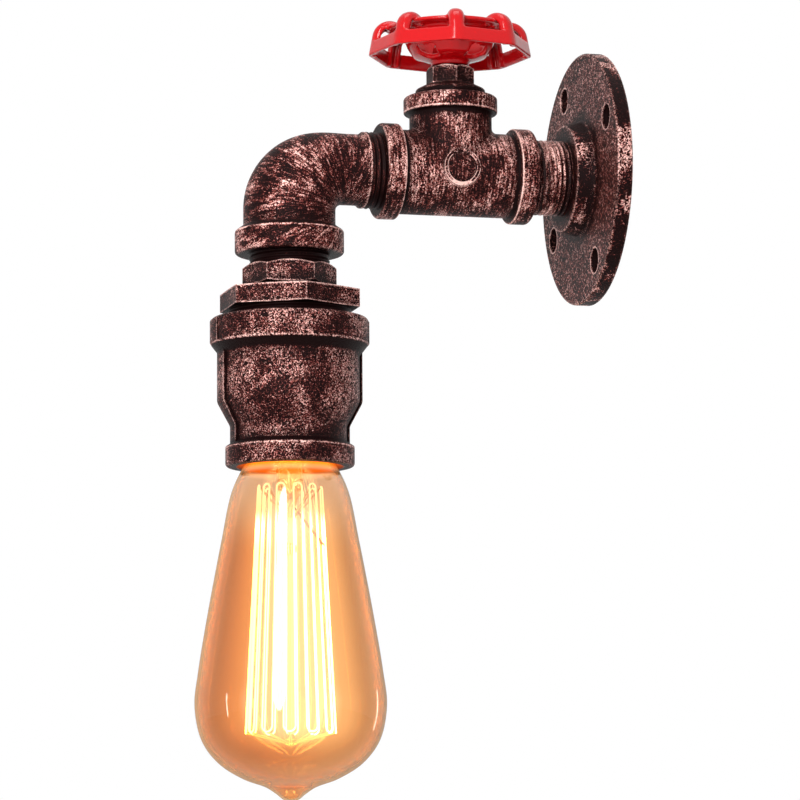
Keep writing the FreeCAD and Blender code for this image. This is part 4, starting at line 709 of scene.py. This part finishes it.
plainFinishes = {
    # name: colour, metallic, roughness, grain mm, bump depth mm, nodes
    # bright cold grey with a satin sheen
    "zincPlatedSteel": ("#a9acb0", 1.0, 0.34, 0.5, 0.01,
                        ("wheel_screw", "wheel_washer", "connector_screws", "lampholder_screws")),
    # warm yellow metal, still fairly sharp in its reflections
    "turnedBrass": ("#b98d3e", 1.0, 0.3, 0.4, 0.01,
                    ("valve_spindle", "switch_contacts", "lampholder_shell", "lampholder_contact",
                     "lampholder_terminals")),
    # dry brick red without gloss
    "redFibre": ("#8a3b2a", 0.0, 0.8, 0.3, 0.03, ("gland_packing", "lampholder_washer")),
    # near black with a soft moulded sheen
    "blackThermoset": ("#1a1a1c", 0.0, 0.45, 0.5, 0.01, ("switch_housing", "switch_cap")),
    # creamy white with a soft sheen
    "whiteNylon": ("#e6e4dc", 0.0, 0.5, 0.5, 0.01, ("switch_rotor", "supply_connector")),
    # warm white under a wet-looking glaze
    "glazedPorcelain": ("#efece4", 0.0, 0.12, 2.0, 0.02, ("lampholder_body",)),
    # glossy black
    "blackGlassInsulator": ("#141416", 0.0, 0.1, 1.0, 0.01, ("bulb_base_insulator",)),
    # dull silver with a lumpy solder skin
    "tinnedContact": ("#b4b5b8", 1.0, 0.4, 0.6, 0.03, ("bulb_tip_contact",)),
    # smooth plastic sleeves in the colours of live and neutral
    "brownInsulation": ("#7a4a2a", 0.0, 0.45, 0.4, 0.01, ("wire_supply_live", "wire_switched_live")),
    "blueInsulation": ("#2b5fae", 0.0, 0.45, 0.4, 0.01, ("wire_neutral",)),
}

plainGrain = {"darker": 0.82, "glossier": 0.85, "duller": 1.15, "reliefStrength": 0.6}


def plainFinish(name, colour, metallic, roughness, grainMm, depthMm):
    # one colour, made uneven in tone, gloss and surface by a fine grain
    material, tree = newMaterial(name)
    grain = addNode(tree, "TexNoise", {
        "Vector": addNode(tree, "TexCoord", {}).outputs["Object"],
        "Scale": patternScale(grainMm),
        "Detail": 3.0,
        "Roughness": 0.6,
    })
    base = linearColour(colour)
    darker = tuple(c * plainGrain["darker"] for c in base[:3]) + (1.0,)
    shader = addNode(tree, "BsdfPrincipled", {
        "Base Color": addNode(tree, "Mix", {"data_type": "RGBA", "Factor": grain, "A": darker, "B": base}),
        "Roughness": addNode(tree, "MapRange", {
            "Value": grain, "From Min": 0.2, "From Max": 0.8,
            "To Min": roughness * plainGrain["glossier"], "To Max": roughness * plainGrain["duller"]}),
        "Normal": addNode(tree, "Bump", {
            "Height": grain, "Distance": depthMm * mm, "Strength": plainGrain["reliefStrength"]}),
        "Metallic": metallic,
    })
    addNode(tree, "OutputMaterial", {"Surface": shader})
    return material


for name, (*look, members) in plainFinishes.items():
    material = plainFinish(name, *look)
    for member in members:
        finishNode(member, material)
print("plain finishes set")


# Bulb: blown amber glass, clear stem, glowing filament, rolled cap

bulb = {
    # sizes in mm, lengths measured down from the tip contact at the bulb's top
    "axisY": -109.6,
    "tip": -72.0,
    "length": 144.6,
    "radius": 32.5,
    "neckRadius": 12.2,
    "neckPlaces": (11.0, 23.3),
    "rim": 26.3,         # end of the cap, where the glass leaves it
    # below the rim: share of the length left, share of the greatest radius
    "shape": ((0.046, 0.493), (0.117, 0.612), (0.256, 0.718), (0.482, 0.873), (0.632, 0.962),
              (0.730, 1.0), (0.828, 0.926), (0.893, 0.750), (0.938, 0.490)),
    # radius and height over the lowest point
    "pip": ((8.45, 4.6), (5.239, 2.576), (2.1125, 0.25), (0.0, 0.0)),
    "wall": 0.8,
    "leastRadius": 0.3,  # nearer the axis the inner wall closes to a point
    "columns": 128,
    "stepsPerSpan": 7,
}

amberGlass = {
    "amber": "#e9b980",
    "deepAmber": "#db9850",
    "deeperSideSpanMm": (-130.0, -92.0),     # the amber is deeper on the side away from the wall
    "edgeAmber": "#e3b67e",
    "edgeSpan": (0.2, 0.45),            # from face-on, 0, to edge-on, 1
    "topAmber": "#f0cfae",
    "topSpanMm": (-135.0, -108.0),
    "film": "#c38f55",
    "filmSpan": (0.5, 0.85),
    "filmShare": 0.65,
    # painted glow of the filament's light on the glass, strongest face-on beside the filament
    "paintedGlow": "#fff0cc",
    "paintedGlowStrength": 0.3,
    "paintedGlowSpan": (0.17, 0.05),
    "burningMm": (-200.0, -118.0),      # heights between which the filament burns
    "burningSoftMm": 10.0,
    # painted orange glow round the neck, under the cap
    "neckGlow": "#ff8412",
    "neckGlowStrength": 0.5,
    "neckSpanMm": (-106.5, -103.5),
    "roughness": 0.03,
    "ior": 1.5,
}

clearGlass = {
    "tint": "#fff2dc",
    # painted warm glow, the filament's light on the stem and rod
    "glow": "#ffb44a",
    "glowStrength": 0.12,
    "roughness": 0.02,
    "ior": 1.5,
    "nodes": ("bulb_stem", "bulb_centre_rod"),
}

wires = {
    "roughness": 0.5,
    "coolerMm": 8.0,     # length over which a wire's light fades above the filament: the tungsten cools, and the glow painted on the other wires dims
    "coolerShare": 0.12,
    "kinds": {
        # finish: colour, light that it gives (a painted glow on all but the tungsten), strength of the light,
        # node
        "glowingTungsten": ("#5a4a30", "#ffe9b8", 18.0, "bulb_filament"),
        "supportWireInGlow": ("#c8a070", "#ffd9a0", 1.8, "bulb_lower_supports"),
        "upperSupportWireInGlow": ("#c8a070", "#ffb45c", 0.5, "bulb_upper_supports"),
        "leadWireInGlow": ("#8a4a20", "#d06a20", 0.35, "bulb_lead_wires"),
    },
}

cap = {
    "pitch": 3.63,
    "crest": 12.93,      # radius of the thread's crests, which is the solid's own
    "depth": 0.75,
    "sheet": 0.35,
    "start": 5.0,        # the thread runs from here to the bulb's rim
    "runIn": 2.0,        # it rises and fades over this length
    "plainRim": 2.5,
    # the top turned in over the insulator, from the inner wall to the outer: radius, place under the tip
    "lip": ((12.4, 5.6), (11.4, 4.6), (10.6, 4.4), (10.6, 4.0), (11.6, 4.0)),
    "columns": 96,
    "rows": 84,
}


def bulbRing(radii, down):
    # ring at that distance below the tip contact; a radius of nothing makes it a pole
    if not any(radii):
        radii = radii[:1]
    place = Vector((0.0, bulb["axisY"], bulb["tip"]))
    return [(aboutAxis(radius, k / len(radii), -down) + place) * mm for k, radius in enumerate(radii)]


def smoothLine(points, steps):
    # Line that runs smoothly through all the points, in even steps from each to the next. Its slopes are
    # weighted by the roots of the distances, so it doesn't swing out where the points lie unevenly.
    path = [points[0] + (points[0] - points[1])] + points + [points[-1] + (points[-1] - points[-2])]
    line = []
    for before, start, end, after in zip(path, path[1:], path[2:], path[3:]):
        spans = [math.sqrt((b - a).length) for a, b in ((before, start), (start, end), (end, after))]
        leave = ((start - before) / spans[0] - (end - before) / (spans[0] + spans[1])
                 + (end - start) / spans[1]) * spans[1]
        arrive = ((end - start) / spans[1] - (after - start) / (spans[1] + spans[2])
                  + (after - end) / spans[2]) * spans[1]
        for step in range(steps):
            t = step / steps
            line.append(start * (2 * t ** 3 - 3 * t ** 2 + 1) + leave * (t ** 3 - 2 * t ** 2 + t)
                        + end * (3 * t ** 2 - 2 * t ** 3) + arrive * (t ** 3 - t ** 2))
    line.append(points[-1])
    return line


def glassWalls():
    # outer and inner line of the blown wall, as radius and distance below the tip contact
    length, rim = bulb["length"], bulb["rim"]
    points = [Vector((bulb["neckRadius"], down)) for down in (*bulb["neckPlaces"], rim)]
    points += [Vector((bulb["radius"] * wide, rim + (length - rim) * deep)) for deep, wide in bulb["shape"]]
    points += [Vector((radius, length - up)) for radius, up in bulb["pip"]]
    outer = [Vector((max(p.x, 0.0), p.y)) for p in smoothLine(points, bulb["stepsPerSpan"])]
    inner = []
    for i, point in enumerate(outer):
        way = outer[min(i + 1, len(outer) - 1)] - outer[max(i - 1, 0)]
        across = Vector((-way.y, way.x)).normalized()
        inner.append(point + across * bulb["wall"])
    pole = Vector((0.0, inner[-1].y))
    inner = [p for p in inner[:-1] if p.x > bulb["leastRadius"]] + [pole]
    return outer, inner


def amberBlownGlass():
    # Soda-lime glass, blown and stained amber: clear and glossy, white shows through it as light amber and
    # it deepens to orange where the wall is seen edge-on. Near the filament a glow of its light is painted on
    # the glass, and a painted orange glow rings the neck.
    values = amberGlass
    material, tree = newMaterial("amberBlownGlass")
    edgeOn = addNode(tree, "LayerWeight", {"Blend": 0.5}).outputs["Facing"]
    place = addNode(tree, "TexCoord", {}).outputs["Object"]
    parts = addNode(tree, "SeparateXYZ", {0: place}).outputs
    shares = {}
    for layer, value, unit in (("deeperSideSpanMm", parts["Y"], mm), ("edgeSpan", edgeOn, 1.0),
                               ("topSpanMm", parts["Z"], mm), ("neckSpanMm", parts["Z"], mm)):
        low, high = values[layer]
        shares[layer] = addNode(tree, "MapRange", {
            **smooth, "Value": value, "From Min": low * unit, "From Max": high * unit})
    colour = linearColour(values["deepAmber"])
    for layer, tint in (("deeperSideSpanMm", "amber"), ("edgeSpan", "edgeAmber"), ("topSpanMm", "topAmber")):
        colour = addNode(tree, "Mix", {
            "data_type": "RGBA", "Factor": shares[layer], "A": colour, "B": linearColour(values[tint])})
    low, high = values["burningMm"]
    soft = values["burningSoftMm"]
    above = addNode(tree, "MapRange", {
        **smooth, "Value": parts["Z"], "From Min": (low - soft) * mm, "From Max": (low + soft) * mm})
    below = addNode(tree, "MapRange", {
        **smooth, "Value": parts["Z"], "From Min": (high + soft) * mm, "From Max": (high - soft) * mm})
    beside = addNode(tree, "Math", {"operation": "MULTIPLY", 0: above, 1: below})
    faceOn = addNode(tree, "MapRange", {
        **smooth, "Value": edgeOn, "From Min": values["paintedGlowSpan"][0], "From Max": values["paintedGlowSpan"][1],
        "To Max": values["paintedGlowStrength"]})
    paintedGlow = addNode(tree, "Math", {"operation": "MULTIPLY", 0: faceOn, 1: beside})
    neck = addNode(tree, "Math", {
        "operation": "MULTIPLY", 0: shares["neckSpanMm"], 1: values["neckGlowStrength"]})
    shader = addNode(tree, "BsdfPrincipled", {
        "Base Color": colour,
        "Emission Color": addNode(tree, "Mix", {
            "data_type": "RGBA", "Factor": shares["neckSpanMm"],
            "A": linearColour(values["paintedGlow"]), "B": linearColour(values["neckGlow"])}),
        "Emission Strength": addNode(tree, "Math", {"operation": "ADD", 0: paintedGlow, 1: neck}),
        "Roughness": values["roughness"],
        "IOR": values["ior"],
        "Transmission Weight": 1.0,
    })
    film = addNode(tree, "BsdfDiffuse", {"Color": linearColour(values["film"])})
    filmShare = addNode(tree, "MapRange", {
        **smooth, "Value": edgeOn, "From Min": values["filmSpan"][0], "From Max": values["filmSpan"][1],
        "To Max": values["filmShare"]})
    both = addNode(tree, "MixShader", {0: filmShare, 1: shader, 2: film})
    addNode(tree, "OutputMaterial", {"Surface": both})
    return material


def makeGlass():
    outer, inner = glassWalls()
    rings = [bulbRing([p.x] * bulb["columns"], p.y) for p in outer + inner[::-1]]
    glass = meshPiece("blownGlass", rings, amberBlownGlass(), "bulb")
    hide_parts("bulb_glass")


def drawnGlass():
    # Drawn lead glass: colourless, it shows as bright and dark lines at its edges, with a faint painted glow
    # of the filament's light.
    material, tree = newMaterial("clearDrawnGlass")
    shader = addNode(tree, "BsdfPrincipled", {
        "Base Color": linearColour(clearGlass["tint"]),
        "Roughness": clearGlass["roughness"],
        "IOR": clearGlass["ior"],
        "Transmission Weight": 1.0,
        "Emission Color": linearColour(clearGlass["glow"]),
        "Emission Strength": clearGlass["glowStrength"],
    })
    addNode(tree, "OutputMaterial", {"Surface": shader})
    return material


def glowingWire(name, colour, light, strength):
    # Wire in or beside the working filament: the tungsten gives yellow-white light, and the filament's light
    # is painted on the rest as a glow.
    material, tree = newMaterial(name)
    place = addNode(tree, "TexCoord", {}).outputs["Object"]
    height = addNode(tree, "SeparateXYZ", {0: place}).outputs["Z"]
    top = amberGlass["burningMm"][1]
    heatAndGlow = addNode(tree, "MapRange", {
        **smooth, "Value": height, "From Min": (top - wires["coolerMm"]) * mm, "From Max": top * mm,
        "To Min": strength, "To Max": strength * wires["coolerShare"]})
    shader = addNode(tree, "BsdfPrincipled", {
        "Base Color": linearColour(colour),
        "Roughness": wires["roughness"],
        "Emission Color": linearColour(light),
        "Emission Strength": heatAndGlow,
    })
    addNode(tree, "OutputMaterial", {"Surface": shader})
    return material


def capThread(down, inset):
    # radii round the rolled thread at that distance from the tip, inset from its outer skin
    rising = (down - cap["start"]) / cap["runIn"]
    fading = max(0.0, (bulb["rim"] - cap["plainRim"] - down) / cap["runIn"])
    depth = cap["depth"] * min(1.0, rising, fading)
    waves = [0.5 + 0.5 * math.cos(2 * math.pi * (down / cap["pitch"] - column / cap["columns"]))
             for column in range(cap["columns"])]
    return [cap["crest"] - depth * (1.0 - wave) - inset for wave in waves]


def makeCap():
    # rolled sheet cap with its round thread, the same wave inside as outside
    rows, start = cap["rows"], cap["start"]
    places = [start + (bulb["rim"] - start) * row / rows for row in range(rows + 1)]
    lipEnd = cap["lip"][0][1]
    rings = [bulbRing(capThread(down, 0.0), down) for down in places]
    rings += [bulbRing(capThread(down, cap["sheet"]), down) for down in places[::-1] if down > lipEnd]
    rings += [bulbRing([radius] * cap["columns"], down) for radius, down in cap["lip"]]
    piece = meshPiece("rolledCap", rings, bpy.data.materials["turnedBrass"], "bulb")
    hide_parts("bulb_screw_base")


makeGlass()
makeCap()
clear = drawnGlass()
for name in clearGlass["nodes"]:
    finishNode(name, clear)
for name, (colour, light, strength, node) in wires["kinds"].items():
    finishNode(node, glowingWire(name, colour, light, strength))
print("bulb made")
